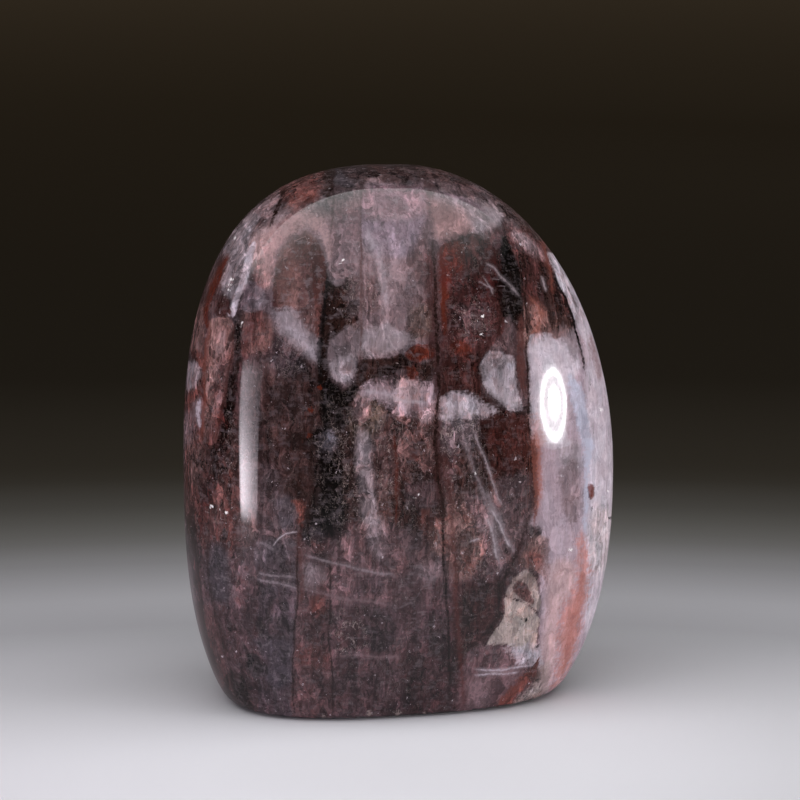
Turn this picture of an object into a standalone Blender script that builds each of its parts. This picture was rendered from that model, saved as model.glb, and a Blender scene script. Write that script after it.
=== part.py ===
"""A polished quartz freeform: one upright, domed stone that stands on a sawn flat base.

Metres, +Z up. The origin is the middle of the base, -Y is the broad front face and +X is the right-hand side.
"""

import math

import bmesh
import bpy
from mathutils import Vector

MM = 0.001

# Overall size
HEIGHT = 98.0 * MM
WIDEST_HEIGHT = 40.5 * MM
LEFT_REACH = 38.5 * MM
RIGHT_REACH = 40.4 * MM
FRONT_REACH = 24.0 * MM
BACK_REACH = 23.5 * MM

# Depth of the closed lower half, had the stone not been sawn flat
LEFT_KEEL = 56.6 * MM
RIGHT_KEEL = 54.4 * MM
FACE_KEEL = 55.5 * MM

# Squareness of each quarter: 2 is an ellipse, and more is boxier
LEFT_SHOULDER = 2.73
RIGHT_SHOULDER = 2.06
FACE_SHOULDER = 2.3
LEFT_FOOT = 2.62
RIGHT_FOOT = 2.38
FACE_FOOT = 2.37
SECTION_SQUARENESS = 2.5

# Broad hollows and swells that hand polishing leaves: place on the face, reach and height
POLISH_SWELLS = (
    (Vector((-17.0, 0.0, 72.0)) * MM, 13.0 * MM, 0.5 * MM),
    (Vector((15.0, 0.0, 66.0)) * MM, 15.0 * MM, 0.45 * MM),
    (Vector((-2.0, 0.0, 84.0)) * MM, 12.0 * MM, -0.4 * MM),
    (Vector((-30.0, 0.0, 22.0)) * MM, 14.0 * MM, 0.4 * MM),
    (Vector((22.0, 0.0, 24.0)) * MM, 16.0 * MM, -0.35 * MM),
)

BASE_EDGE_RADIUS = 1.1 * MM
BASE_EDGE_STEPS = 3
SPHERE_SUBDIVISIONS = 5
BASE_FLATNESS = 0.01 * MM
SHARP_EDGE_DEGREES = 35
POLE_SIZE = 1e-9

QUARTZ_COLOUR = (0.105, 0.062, 0.062, 1.0)
QUARTZ_ROUGHNESS = 0.12
QUARTZ_IOR = 1.54


def clear_scene():
    """Removes every object, so that the file holds the stone alone."""
    for obj in list(bpy.data.objects):
        bpy.data.objects.remove(obj)


def quarter_blend(direction, left, right, front, back):
    """The value for this direction, turning smoothly from one side of the stone to the next."""
    across = direction.x**2
    along = direction.y**2
    side = left if direction.x < 0 else right
    face = front if direction.y < 0 else back
    if across + along < POLE_SIZE:
        return face
    return (side * across + face * along) / (across + along)


def surface_point(direction):
    """Where a ray from the stone's heart, at the widest height, meets the uncut surface."""
    reach_x = LEFT_REACH if direction.x < 0 else RIGHT_REACH
    reach_y = FRONT_REACH if direction.y < 0 else BACK_REACH
    if direction.z > 0:
        reach_z = HEIGHT - WIDEST_HEIGHT
        squareness = quarter_blend(direction, LEFT_SHOULDER, RIGHT_SHOULDER, FACE_SHOULDER, FACE_SHOULDER)
    else:
        reach_z = quarter_blend(direction, LEFT_KEEL, RIGHT_KEEL, FACE_KEEL, FACE_KEEL)
        squareness = quarter_blend(direction, LEFT_FOOT, RIGHT_FOOT, FACE_FOOT, FACE_FOOT)
    section = abs(direction.x / reach_x) ** SECTION_SQUARENESS + abs(direction.y / reach_y) ** SECTION_SQUARENESS
    level = section ** (squareness / SECTION_SQUARENESS) + abs(direction.z / reach_z) ** squareness
    point = direction * level ** (-1.0 / squareness)
    point.z += WIDEST_HEIGHT
    return point + direction * polish_swell(point)


def polish_swell(point):
    """Height of the hand-polished swells at a point on the front face."""
    if point.y > 0:
        return 0.0
    facing = min(1.0, -point.y / FRONT_REACH)
    height = 0.0
    for centre, reach, swell in POLISH_SWELLS:
        away = math.hypot(point.x - centre.x, point.z - centre.z) / reach
        height += swell * math.exp(-away * away)
    return height * facing


def domed_stone():
    """The whole rounded stone, sawn flat at the base, as a mesh with one flat n-gon under it."""
    body = bmesh.new()
    bmesh.ops.create_icosphere(body, subdivisions=SPHERE_SUBDIVISIONS, radius=1.0)
    for vertex in body.verts:
        vertex.co = surface_point(vertex.co.normalized())
    everything = list(body.verts) + list(body.edges) + list(body.faces)
    bmesh.ops.bisect_plane(body, geom=everything, plane_co=(0, 0, 0), plane_no=(0, 0, 1), clear_inner=True)
    bmesh.ops.remove_doubles(body, verts=body.verts, dist=BASE_FLATNESS)
    rim = [edge for edge in body.edges if edge.is_boundary]
    bmesh.ops.edgeloop_fill(body, edges=rim)
    bmesh.ops.recalc_face_normals(body, faces=body.faces)
    mesh = bpy.data.meshes.new("stone")
    body.to_mesh(mesh)
    body.free()
    return mesh


def weight_base_rim(mesh):
    """Marks the edge between the dome and the sawn base, so that only it is rounded."""
    weights = mesh.attributes.new("bevel_weight_edge", "FLOAT", "EDGE")
    corners_flat = [abs(vertex.co.z) < BASE_FLATNESS for vertex in mesh.vertices]
    for edge in mesh.edges:
        first, second = edge.vertices
        weights.data[edge.index].value = float(corners_flat[first] and corners_flat[second])


def polished_quartz():
    """Dark plum quartz with a glassy polish."""
    material = bpy.data.materials.new("included_quartz")
    material.use_nodes = True
    shader = material.node_tree.nodes["Principled BSDF"]
    shader.inputs["Base Color"].default_value = QUARTZ_COLOUR
    shader.inputs["Roughness"].default_value = QUARTZ_ROUGHNESS
    shader.inputs["IOR"].default_value = QUARTZ_IOR
    shader.inputs["Metallic"].default_value = 0.0
    return material


def build():
    """Builds the stone in a collection of its own."""
    clear_scene()
    collection = bpy.data.collections.new("quartz_freeform")
    bpy.context.scene.collection.children.link(collection)

    mesh = domed_stone()
    weight_base_rim(mesh)
    mesh.materials.append(polished_quartz())
    mesh.shade_smooth()
    stone = bpy.data.objects.new("stone", mesh)
    collection.objects.link(stone)

    rounding = stone.modifiers.new("base_edge", "BEVEL")
    rounding.limit_method = "WEIGHT"
    rounding.width = BASE_EDGE_RADIUS
    rounding.segments = BASE_EDGE_STEPS
    mesh.set_sharp_from_angle(angle=math.radians(SHARP_EDGE_DEGREES))


build()
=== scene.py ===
"""A polished quartz freeform on a pale floor: one domed stone with veins, milky clouds and rust-red stains.

Metres, +Z up. Places of markings are in millimetres of the face plane: u runs to the right and v upwards as
the camera sees the stone, both from the middle of its base.
"""

import logging
import math
from collections.abc import Callable, Mapping
from dataclasses import asdict, dataclass
from enum import Enum
from typing import Any

import bpy
import numpy as np
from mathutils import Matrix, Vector, noise


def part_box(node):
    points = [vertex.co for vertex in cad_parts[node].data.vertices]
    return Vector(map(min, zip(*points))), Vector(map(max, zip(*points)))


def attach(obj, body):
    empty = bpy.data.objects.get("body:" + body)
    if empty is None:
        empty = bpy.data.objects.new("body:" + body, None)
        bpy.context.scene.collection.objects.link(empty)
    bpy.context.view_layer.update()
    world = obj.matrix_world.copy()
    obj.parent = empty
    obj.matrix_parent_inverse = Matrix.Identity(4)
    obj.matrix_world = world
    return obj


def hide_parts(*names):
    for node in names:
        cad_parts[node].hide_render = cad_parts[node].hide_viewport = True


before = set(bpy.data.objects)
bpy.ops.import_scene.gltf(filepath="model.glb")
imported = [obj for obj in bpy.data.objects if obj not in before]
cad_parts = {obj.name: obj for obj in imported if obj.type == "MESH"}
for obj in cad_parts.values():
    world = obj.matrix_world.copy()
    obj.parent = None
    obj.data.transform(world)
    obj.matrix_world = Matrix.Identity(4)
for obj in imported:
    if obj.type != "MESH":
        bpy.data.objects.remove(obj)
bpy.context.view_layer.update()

MM = 0.001
TINY = 1e-9
LOG = logging.getLogger("quartz_freeform")

Colour = tuple[float, float, float, float]
Stops = tuple[tuple[float, Colour], ...]
Profile = tuple[tuple[float, float], ...]
Stretch = tuple[float, float, float]
Outline = tuple[tuple[float, float], ...]
Corners = tuple[Vector, Vector, Vector, Vector]
Span = tuple[float, float]
WHITE: Colour = (1.0, 1.0, 1.0, 1.0)
EVEN: Profile = ((0.0, 1.0), (1.0, 1.0))


def linear(red: float, green: float, blue: float) -> Colour:
    """Turns a colour as a screen shows it into the linear colour that a shader takes.

    Args:
        red: Red from 0 to 255.
        green: Green from 0 to 255.
        blue: Blue from 0 to 255.

    Returns:
        The linear colour with an opaque fourth value.
    """
    shown = (red / 255.0, green / 255.0, blue / 255.0)
    steps = [c / 12.92 if c <= 0.04045 else ((c + 0.055) / 1.055) ** 2.4 for c in shown]
    return (*steps, 1.0)


def operator(operation: str, reflected: bool = False) -> "Callable[[Expression, Any], Expression]":
    """Writes the method of an expression that adds the Math node of an operation.

    Args:
        operation: The node's operation.
        reflected: Whether the expression is the second operand, as in 1 - mask.

    Returns:
        The method.
    """

    def method(self: "Expression", other: Any) -> "Expression":
        """The result of the operation."""
        first, second = (other, self) if reflected else (self, other)
        return self.graph.arithmetic(operation, first, second)

    return method


class Expression:
    """A node socket that adds a Math or Vector Math node wherever Python arithmetic uses it.

    Above gives 1 where the value is greater than a limit and 0 elsewhere. At_least and at_most give the
    greater and the smaller of the value and a limit.
    """

    __add__ = operator("ADD")
    __radd__ = operator("ADD", reflected=True)
    __sub__ = operator("SUBTRACT")
    __rsub__ = operator("SUBTRACT", reflected=True)
    __mul__ = operator("MULTIPLY")
    __rmul__ = operator("MULTIPLY", reflected=True)
    __truediv__ = operator("DIVIDE")
    __rtruediv__ = operator("DIVIDE", reflected=True)
    __pow__ = operator("POWER")
    __rpow__ = operator("POWER", reflected=True)
    above = operator("GREATER_THAN")
    at_least = operator("MAXIMUM")
    at_most = operator("MINIMUM")

    def __init__(self, graph: "Graph", socket: bpy.types.NodeSocket) -> None:
        """Wraps a socket of the graph."""
        self.graph = graph
        self.socket = socket

    def __neg__(self) -> "Expression":
        """The opposite."""
        return self * -1.0

    def __abs__(self) -> "Expression":
        """The absolute value."""
        return self.graph.function("ABSOLUTE", self)

    def sibling(self, output: str | int) -> "Expression":
        """Another output of the same node."""
        return Expression(self.graph, self.socket.node.outputs[output])

    @property
    def is_vector(self) -> bool:
        """Whether the socket carries a vector or a colour."""
        return self.socket.type in {"VECTOR", "RGBA"}


class Graph:
    """A node tree that is written as expressions."""

    def __init__(self, tree: bpy.types.NodeTree) -> None:
        """Takes the tree that the nodes go into."""
        self.tree = tree

    def add(
        self,
        kind: str,
        settings: Mapping[str, Any] | None = None,
        inputs: Mapping[str | int, Any] | None = None,
        output: str | int = 0,
    ) -> Expression:
        """Adds a node.

        Args:
            kind: The node's type.
            settings: The node's own settings; "stops" are a colour ramp's, as places and colours.
            inputs: Values or expressions for its sockets, by name or number.
            output: The output that the expression wraps.

        Returns:
            The chosen output.
        """
        node = self.tree.nodes.new(kind)
        for name, value in (settings or {}).items():
            if name == "stops":
                self.set_stops(node.color_ramp, value)
            else:
                setattr(node, name, value)
        for key, value in (inputs or {}).items():
            self.feed(node.inputs[key], value)
        return Expression(self, node.outputs[output])

    def feed(self, socket: bpy.types.NodeSocket, value: Any) -> None:
        """Links an expression to a socket, or sets the socket's own value.

        Args:
            socket: The input socket.
            value: An expression, a number or a tuple.
        """
        if isinstance(value, Expression):
            self.tree.links.new(value.socket, socket)
        elif isinstance(value, (int, float)) and socket.type in {"VECTOR", "RGBA"}:
            socket.default_value = [value] * len(socket.default_value)
        else:
            socket.default_value = value

    def set_stops(self, ramp: bpy.types.ColorRamp, stops: Stops) -> None:
        """Gives a colour ramp its stops.

        Args:
            ramp: The ramp of a new node.
            stops: Places from 0 to 1 with their colours.
        """
        while len(ramp.elements) < len(stops):
            ramp.elements.new(1.0)
        for element, (place, colour) in zip(ramp.elements, stops):
            element.position = place
            element.color = colour

    def arithmetic(self, operation: str, first: Any, second: Any) -> Expression:
        """Adds the Math node of an operation, or the Vector Math node where a vector or a colour takes part.

        Args:
            operation: The node's operation.
            first: The first operand.
            second: The second operand.

        Returns:
            The result.
        """
        vectors = any(isinstance(side, Expression) and side.is_vector for side in (first, second))
        kind = "ShaderNodeVectorMath" if vectors else "ShaderNodeMath"
        return self.add(kind, {"operation": operation}, {0: first, 1: second})

    def function(self, operation: str, value: Any) -> Expression:
        """A Math node of one operand, such as EXPONENT or SQRT."""
        return self.add("ShaderNodeMath", {"operation": operation}, {0: value})

    def smooth_step(self, value: Any, start: Any, end: Any) -> Expression:
        """A smooth rise of the result from 0, where the value is at the start, to 1 at the end."""
        settings = {"interpolation_type": "SMOOTHSTEP"}
        return self.add("ShaderNodeMapRange", settings, {0: value, 1: start, 2: end})

    def axes(self, vector: Expression) -> tuple[Expression, Expression, Expression]:
        """The three parts of a vector."""
        x = self.add("ShaderNodeSeparateXYZ", inputs={0: vector})
        return x, x.sibling(1), x.sibling(2)

    def vector(self, x: Any, y: Any, z: Any) -> Expression:
        """A vector of three parts."""
        return self.add("ShaderNodeCombineXYZ", inputs={0: x, 1: y, 2: z})

    def length(self, vector: Expression) -> Expression:
        """The length of a vector."""
        return self.add("ShaderNodeVectorMath", {"operation": "LENGTH"}, {0: vector}, "Value")

    def blend(self, share: Any, under: Any, over: Any) -> Expression:
        """The colour under where the share is 0, the colour over where it is 1, and a mix between."""
        return self.add("ShaderNodeMix", {"data_type": "RGBA"}, {0: share, 6: under, 7: over}, 2)

    def shade(self, stops: Stops, value: Expression) -> Expression:
        """A colour that runs through stops, read at a value from 0 to 1."""
        return self.add("ShaderNodeValToRGB", {"stops": stops}, {0: value})

    def grey(self, colour: Expression) -> Expression:
        """The brightness of a colour."""
        return self.add("ShaderNodeRGBToBW", None, {0: colour})

    def field(self, name: str) -> Expression:
        """An attribute of the mesh's points."""
        return self.add("ShaderNodeAttribute", {"attribute_name": name}, None, "Vector")

    def profile(self, stops: Profile, value: Expression) -> Expression:
        """A value that runs through stops, as places and levels from 0 to 1."""
        greys = tuple((place, (level, level, level, 1.0)) for place, level in stops)
        return self.grey(self.shade(greys, value))

    def clouds(self, point: Expression, scale: Any, detail: float, roughness: float = 0.5) -> Expression:
        """A soft noise between 0 and 1, with a scale in spots for each unit of length."""
        values = {"Vector": point, "Scale": scale, "Detail": detail, "Roughness": roughness}
        return self.add("ShaderNodeTexNoise", None, values)

    def finish(self, kind: str, surface: Expression) -> None:
        """Adds an output node of a kind and gives it the surface."""
        self.feed(self.tree.nodes.new(kind).inputs["Surface"], surface)


def new_material(name: str) -> tuple[bpy.types.Material, Graph]:
    """Makes a material.

    Args:
        name: Its name.

    Returns:
        The material and the graph of its nodes.
    """
    material = bpy.data.materials.new(name)
    material.use_nodes = True
    return material, Graph(material.node_tree)


def place_object(name: str, data: bpy.types.ID) -> bpy.types.Object:
    """Makes an object of a mesh or a camera and links it to the scene.

    Args:
        name: Its name.
        data: Its mesh or camera.

    Returns:
        The object.
    """
    made = bpy.data.objects.new(name, data)
    bpy.context.scene.collection.objects.link(made)
    return made


@dataclass(frozen=True)
class Swell:
    """A broad rise or hollow that hand polishing left on the front face, in metres."""

    x: float
    z: float
    reach: float
    height: float


@dataclass
class StoneForm:
    """The domed body, as a closed rounded solid that is sawn flat below.

    Every field but the swells is an input of the node tree. The rim ends between the two heights of rim_end,
    and a chip begins where its noise is between the two chip levels.
    """

    left_reach: float
    right_reach: float
    front_reach: float
    back_reach: float
    height: float
    widest_height: float = 40.5 * MM
    left_keel: float = 56.6 * MM
    right_keel: float = 54.4 * MM
    face_keel: float = 55.5 * MM
    left_shoulder: float = 2.73
    right_shoulder: float = 2.06
    face_shoulder: float = 2.3
    left_foot: float = 2.62
    right_foot: float = 2.38
    face_foot: float = 2.37
    section_squareness: float = 2.5
    rim_sharpness: float = 45.0
    wave_height: float = 0.02 * MM
    wave_length: float = 14.0 * MM
    chip_depth: float = 0.5 * MM
    chip_length: float = 3.0 * MM
    pit_depth: float = 0.03 * MM
    pit_reach: float = 0.7 * MM
    pit_density: float = 2500.0
    seed: int = 7
    cells_across: int = 158
    cells_deep: int = 50
    cells_tall: int = 196
    swells: tuple[Swell, ...] = (
        Swell(-17.0 * MM, 72.0 * MM, 13.0 * MM, 0.5 * MM),
        Swell(15.0 * MM, 66.0 * MM, 15.0 * MM, 0.12 * MM),
        Swell(-2.0 * MM, 84.0 * MM, 12.0 * MM, -0.4 * MM),
        Swell(-30.0 * MM, 22.0 * MM, 14.0 * MM, 0.4 * MM),
        Swell(22.0 * MM, 24.0 * MM, 16.0 * MM, -0.1 * MM),
    )
    rim_end = (0.3 * MM, 3.0 * MM)
    chip_levels = (0.62, 0.72)

    @classmethod
    def from_frame(cls, node: str) -> "StoneForm":
        """Takes the overall sizes from a node of the frame."""
        low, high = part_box(node)
        return cls(-low.x, high.x, -low.y, high.y, high.z)

    def sizes(self) -> dict[str, float | int]:
        """The named inputs of the node tree with their values."""
        labels = [name for name in self.__dataclass_fields__ if name != "swells"]
        return {name.replace("_", " ").capitalize(): getattr(self, name) for name in labels}

    def build(self, name: str, material: bpy.types.Material) -> bpy.types.Object:
        """Makes the stone's surface.

        Args:
            name: The object's name.
            material: What the surface is made of.

        Returns:
            An object with a plain mesh, at the origin.
        """
        tree = self.node_tree(material)
        maker = place_object(name + "_maker", bpy.data.meshes.new(name + "_maker"))
        modifier = maker.modifiers.new("form", "NODES")
        modifier.node_group = tree
        values = self.sizes()
        for item in tree.interface.items_tree:
            if item.in_out == "INPUT" and item.name in values:
                modifier[item.identifier] = values[item.name]
        evaluated = maker.evaluated_get(bpy.context.evaluated_depsgraph_get())
        mesh = bpy.data.meshes.new_from_object(evaluated)
        mesh.name = name
        bpy.data.objects.remove(maker)
        return place_object(name, mesh)

    def node_tree(self, material: bpy.types.Material) -> bpy.types.NodeTree:
        """Writes the Geometry Nodes tree.

        Args:
            material: What the surface is made of.

        Returns:
            The finished tree.
        """
        tree = bpy.data.node_groups.new("stone_form", "GeometryNodeTree")
        for label, value in self.sizes().items():
            kind = "NodeSocketInt" if isinstance(value, int) else "NodeSocketFloat"
            tree.interface.new_socket(label, in_out="INPUT", socket_type=kind)
        tree.interface.new_socket("Surface", in_out="OUTPUT", socket_type="NodeSocketGeometry")
        graph = Graph(tree)
        inputs = graph.add("NodeGroupInput")
        size = {label: inputs.sibling(label) for label in self.sizes()}

        width = size["Left reach"] + size["Right reach"]
        depth = size["Front reach"] + size["Back reach"]
        counts = {
            "Vertices X": size["Cells across"] + 1,
            "Vertices Y": size["Cells deep"] + 1,
            "Vertices Z": size["Cells tall"] + 1,
        }
        box = graph.vector(width, depth, size["Height"])
        grid = graph.add("GeometryNodeMeshCube", None, {"Size": box, **counts})
        point = self.surface_point(graph, size)
        rounded = graph.add("GeometryNodeSetPosition", None, {"Geometry": grid, "Position": point})
        pitted = self.pitted(graph, size, rounded)
        smooth = graph.add("GeometryNodeSetShadeSmooth", None, {"Geometry": pitted})
        real = graph.add("GeometryNodeRealizeInstances", None, {"Geometry": smooth})
        dressed = graph.add("GeometryNodeSetMaterial", None, {"Geometry": real, "Material": material})
        graph.finish("NodeGroupOutput", dressed)
        return tree

    def surface_point(self, graph: Graph, size: Mapping[str, Expression]) -> Expression:
        """Where a ray from the heart, at the widest height, meets the surface.

        Args:
            graph: The Geometry Nodes tree.
            size: Its inputs by label.

        Returns:
            The point for each corner of the grid.
        """
        place = graph.add("GeometryNodeInputPosition")
        direction = graph.add("ShaderNodeVectorMath", {"operation": "NORMALIZE"}, {0: place})
        x, y, z = graph.axes(direction)
        on_right = x.above(0.0)
        on_back = y.above(0.0)
        on_top = z.above(0.0)

        def pick(share: Expression, first: Expression, second: Expression) -> Expression:
            """The first size where the share is 0, and the second where it is 1."""
            return first + share * (second - first)

        sideways = x * x / (x * x + y * y).at_least(TINY)
        quarters = {}
        for part in ("shoulder", "foot", "keel"):
            side = pick(on_right, size["Left " + part], size["Right " + part])
            quarters[part] = pick(sideways, size["Face " + part], side)
        heart = size["Widest height"]
        reach_x = pick(on_right, size["Left reach"], size["Right reach"])
        reach_y = pick(on_back, size["Front reach"], size["Back reach"])
        reach_z = pick(on_top, quarters["keel"], size["Height"] - heart)
        squareness = pick(on_top, quarters["foot"], quarters["shoulder"])
        bend = size["Section squareness"]
        section = abs(x / reach_x) ** bend + abs(y / reach_y) ** bend
        level = section ** (squareness / bend) + abs(z / reach_z) ** squareness
        uncut = level ** (-1.0 / squareness)

        sharp = size["Rim sharpness"]
        sawn = (heart / uncut) ** sharp + (-z).at_least(0.0) ** sharp
        reach = heart * sawn ** (-1.0 / sharp)
        point = graph.vector(0.0, 0.0, heart) + direction * reach
        return point + direction * (self.swell(graph, size, point) + self.wear(graph, size, point))

    def swell(self, graph: Graph, size: Mapping[str, Expression], point: Expression) -> Expression:
        """Height of the broad swells at a point of the front face.

        Args:
            graph: The Geometry Nodes tree.
            size: Its inputs by label.
            point: A point of the surface.

        Returns:
            How far the surface stands out there.
        """
        x, y, z = graph.axes(point)
        facing = (-y / size["Front reach"]).at_least(0.0).at_most(1.0)
        height: Any = 0.0
        for swell in self.swells:
            across = (x - swell.x) / swell.reach
            along = (z - swell.z) / swell.reach
            height = height + swell.height * graph.function("EXPONENT", -(across * across + along * along))
        return height * facing

    def wear(self, graph: Graph, size: Mapping[str, Expression], point: Expression) -> Expression:
        """Slight waves of the hand polish, and small chips along the sawn rim.

        Args:
            graph: The Geometry Nodes tree.
            size: Its inputs by label.
            point: A point of the surface.

        Returns:
            How far the surface stands out there, below 0 in a chip.
        """
        above_rim = graph.smooth_step(graph.axes(point)[2], *self.rim_end)
        waves = graph.clouds(point, 1.0 / size["Wave length"], 1.0) - 0.5
        chips = graph.clouds(point, 1.0 / size["Chip length"], 1.0)
        bite = graph.smooth_step(chips, *self.chip_levels) * (1.0 - above_rim)
        return waves * 2.0 * size["Wave height"] * above_rim - bite * size["Chip depth"]

    def pitted(self, graph: Graph, size: Mapping[str, Expression], surface: Expression) -> Expression:
        """Presses a few shallow pits into the polish, as grains that broke out leave them.

        Args:
            graph: The Geometry Nodes tree.
            size: Its inputs by label.
            surface: The rounded stone.

        Returns:
            The stone with its pits.
        """
        inputs = {"Mesh": surface, "Density": size["Pit density"], "Seed": size["Seed"]}
        spots = graph.add("GeometryNodeDistributePointsOnFaces", None, inputs)
        away = graph.add("GeometryNodeProximity", {"target_element": "POINTS"}, {0: spots}, "Distance")
        near = away / size["Pit reach"]
        depth = size["Pit depth"] * graph.function("EXPONENT", -(near * near))
        normal = graph.add("GeometryNodeInputNormal")
        return graph.add("GeometryNodeSetPosition", None, {"Geometry": surface, "Offset": normal * (-depth)})


def outward(azimuth: float, elevation: float = 0.0) -> Vector:
    """The direction from the stone at an azimuth (0 is the front, 90 the right) and an elevation."""
    turn, rise = math.radians(azimuth), math.radians(elevation)
    return Vector((math.sin(turn) * math.cos(rise), -math.cos(turn) * math.cos(rise), math.sin(rise)))


def beside(away: Vector) -> Vector:
    """The level direction at a right angle to another, to the right as seen from the stone's far side."""
    return Vector((-away.y, away.x, 0.0))


@dataclass(frozen=True)
class Sight:
    """The camera's line of sight, which also gives the face plane that places of markings are read on.

    The plane's distance from the eye and the place of the picture's middle on it are in millimetres.
    """

    azimuth: float = -12.0
    elevation: float = 11.0
    distance: float = 600.0 * MM
    half_view: float = 7.06
    aim_right: float = 1.08 * MM
    aim_up: float = 53.87 * MM
    sensor: float = 36.0
    nearest: float = 0.01
    farthest: float = 20.0
    plane_distance: float = 584.05
    plane_middle: tuple[float, float] = (1.085, 54.07)

    @property
    def back(self) -> Vector:
        """From the stone to the camera."""
        return outward(self.azimuth, self.elevation)

    @property
    def right(self) -> Vector:
        """To the right in the picture."""
        turn = math.radians(self.azimuth)
        return Vector((math.cos(turn), math.sin(turn), 0.0))

    @property
    def up(self) -> Vector:
        """Upwards in the picture."""
        return self.back.cross(self.right)

    @property
    def eye(self) -> Vector:
        """Where the camera stands."""
        return self.right * self.aim_right + self.up * self.aim_up + self.back * self.distance

    def on_plane(self, points: np.ndarray) -> tuple[np.ndarray, np.ndarray]:
        """Projects points onto the face plane.

        Args:
            points: One point in metres a row.

        Returns:
            Their u and v in millimetres.
        """
        away = points - np.array(self.eye)
        scale = self.plane_distance / -(away @ np.array(self.back))
        middle_u, middle_v = self.plane_middle
        return middle_u + scale * (away @ np.array(self.right)), middle_v + scale * (away @ np.array(self.up))

    def camera(self) -> bpy.types.Object:
        """Makes the camera and gives it to the scene."""
        data = bpy.data.cameras.new("camera")
        data.sensor_width = self.sensor
        data.lens = self.sensor / 2.0 / math.tan(math.radians(self.half_view))
        data.clip_start = self.nearest
        data.clip_end = self.farthest
        camera = place_object("camera", data)
        camera.location = self.eye
        camera.rotation_mode = "QUATERNION"
        camera.rotation_quaternion = (-self.back).to_track_quat("-Z", "Y")
        bpy.context.scene.camera = camera
        return camera


@dataclass(frozen=True)
class LightPanel:
    """A glowing four-cornered panel that only the stone and the floor see.

    Its corners run from the start of both sides along the across side first. The glow is the peak times the
    profile along and the profile across, or times the profile from the middle outwards where it has one.
    """

    name: str
    corners: Corners
    peak: float
    along: Profile = EVEN
    across: Profile = EVEN
    radial: Profile | None = None
    tint: Colour = WHITE
    mirrored: bool = True
    cells: int = 12

    def build(self) -> bpy.types.Object:
        """Makes the panel and its glow."""
        mesh = bpy.data.meshes.new(self.name)
        start_near, start_far, end_far, end_near = self.corners
        row = self.cells + 1
        shares = [(a / self.cells, b / self.cells) for a in range(row) for b in range(row)]
        points = [start_near.lerp(start_far, b).lerp(end_near.lerp(end_far, b), a) for a, b in shares]
        firsts = [a * row + b for a in range(self.cells) for b in range(self.cells)]
        mesh.from_pydata(points, [], [(k, k + 1, k + 1 + row, k + row) for k in firsts])
        share = mesh.attributes.new("share", "FLOAT_VECTOR", "POINT")
        for item, (along, across) in zip(share.data, shares):
            item.vector = (along, across, 0.0)
        mesh.materials.append(self.glow())
        panel = place_object(self.name, mesh)
        panel.visible_camera = False
        panel.visible_shadow = False
        panel.visible_glossy = self.mirrored
        return panel

    def glow(self) -> bpy.types.Material:
        """Makes the panel's light."""
        material, graph = new_material(self.name)
        material.node_tree.nodes.clear()
        along, across, _ = graph.axes(graph.field("share"))
        if self.radial:
            off_along, off_across = along * 2.0 - 1.0, across * 2.0 - 1.0
            away = graph.function("SQRT", off_along * off_along + off_across * off_across)
            level = graph.profile(self.radial, away)
        else:
            level = graph.profile(self.along, along) * graph.profile(self.across, across)
        light = graph.add("ShaderNodeEmission", None, {"Color": self.tint, "Strength": level * self.peak})
        graph.finish("ShaderNodeOutputMaterial", light)
        return material


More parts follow.
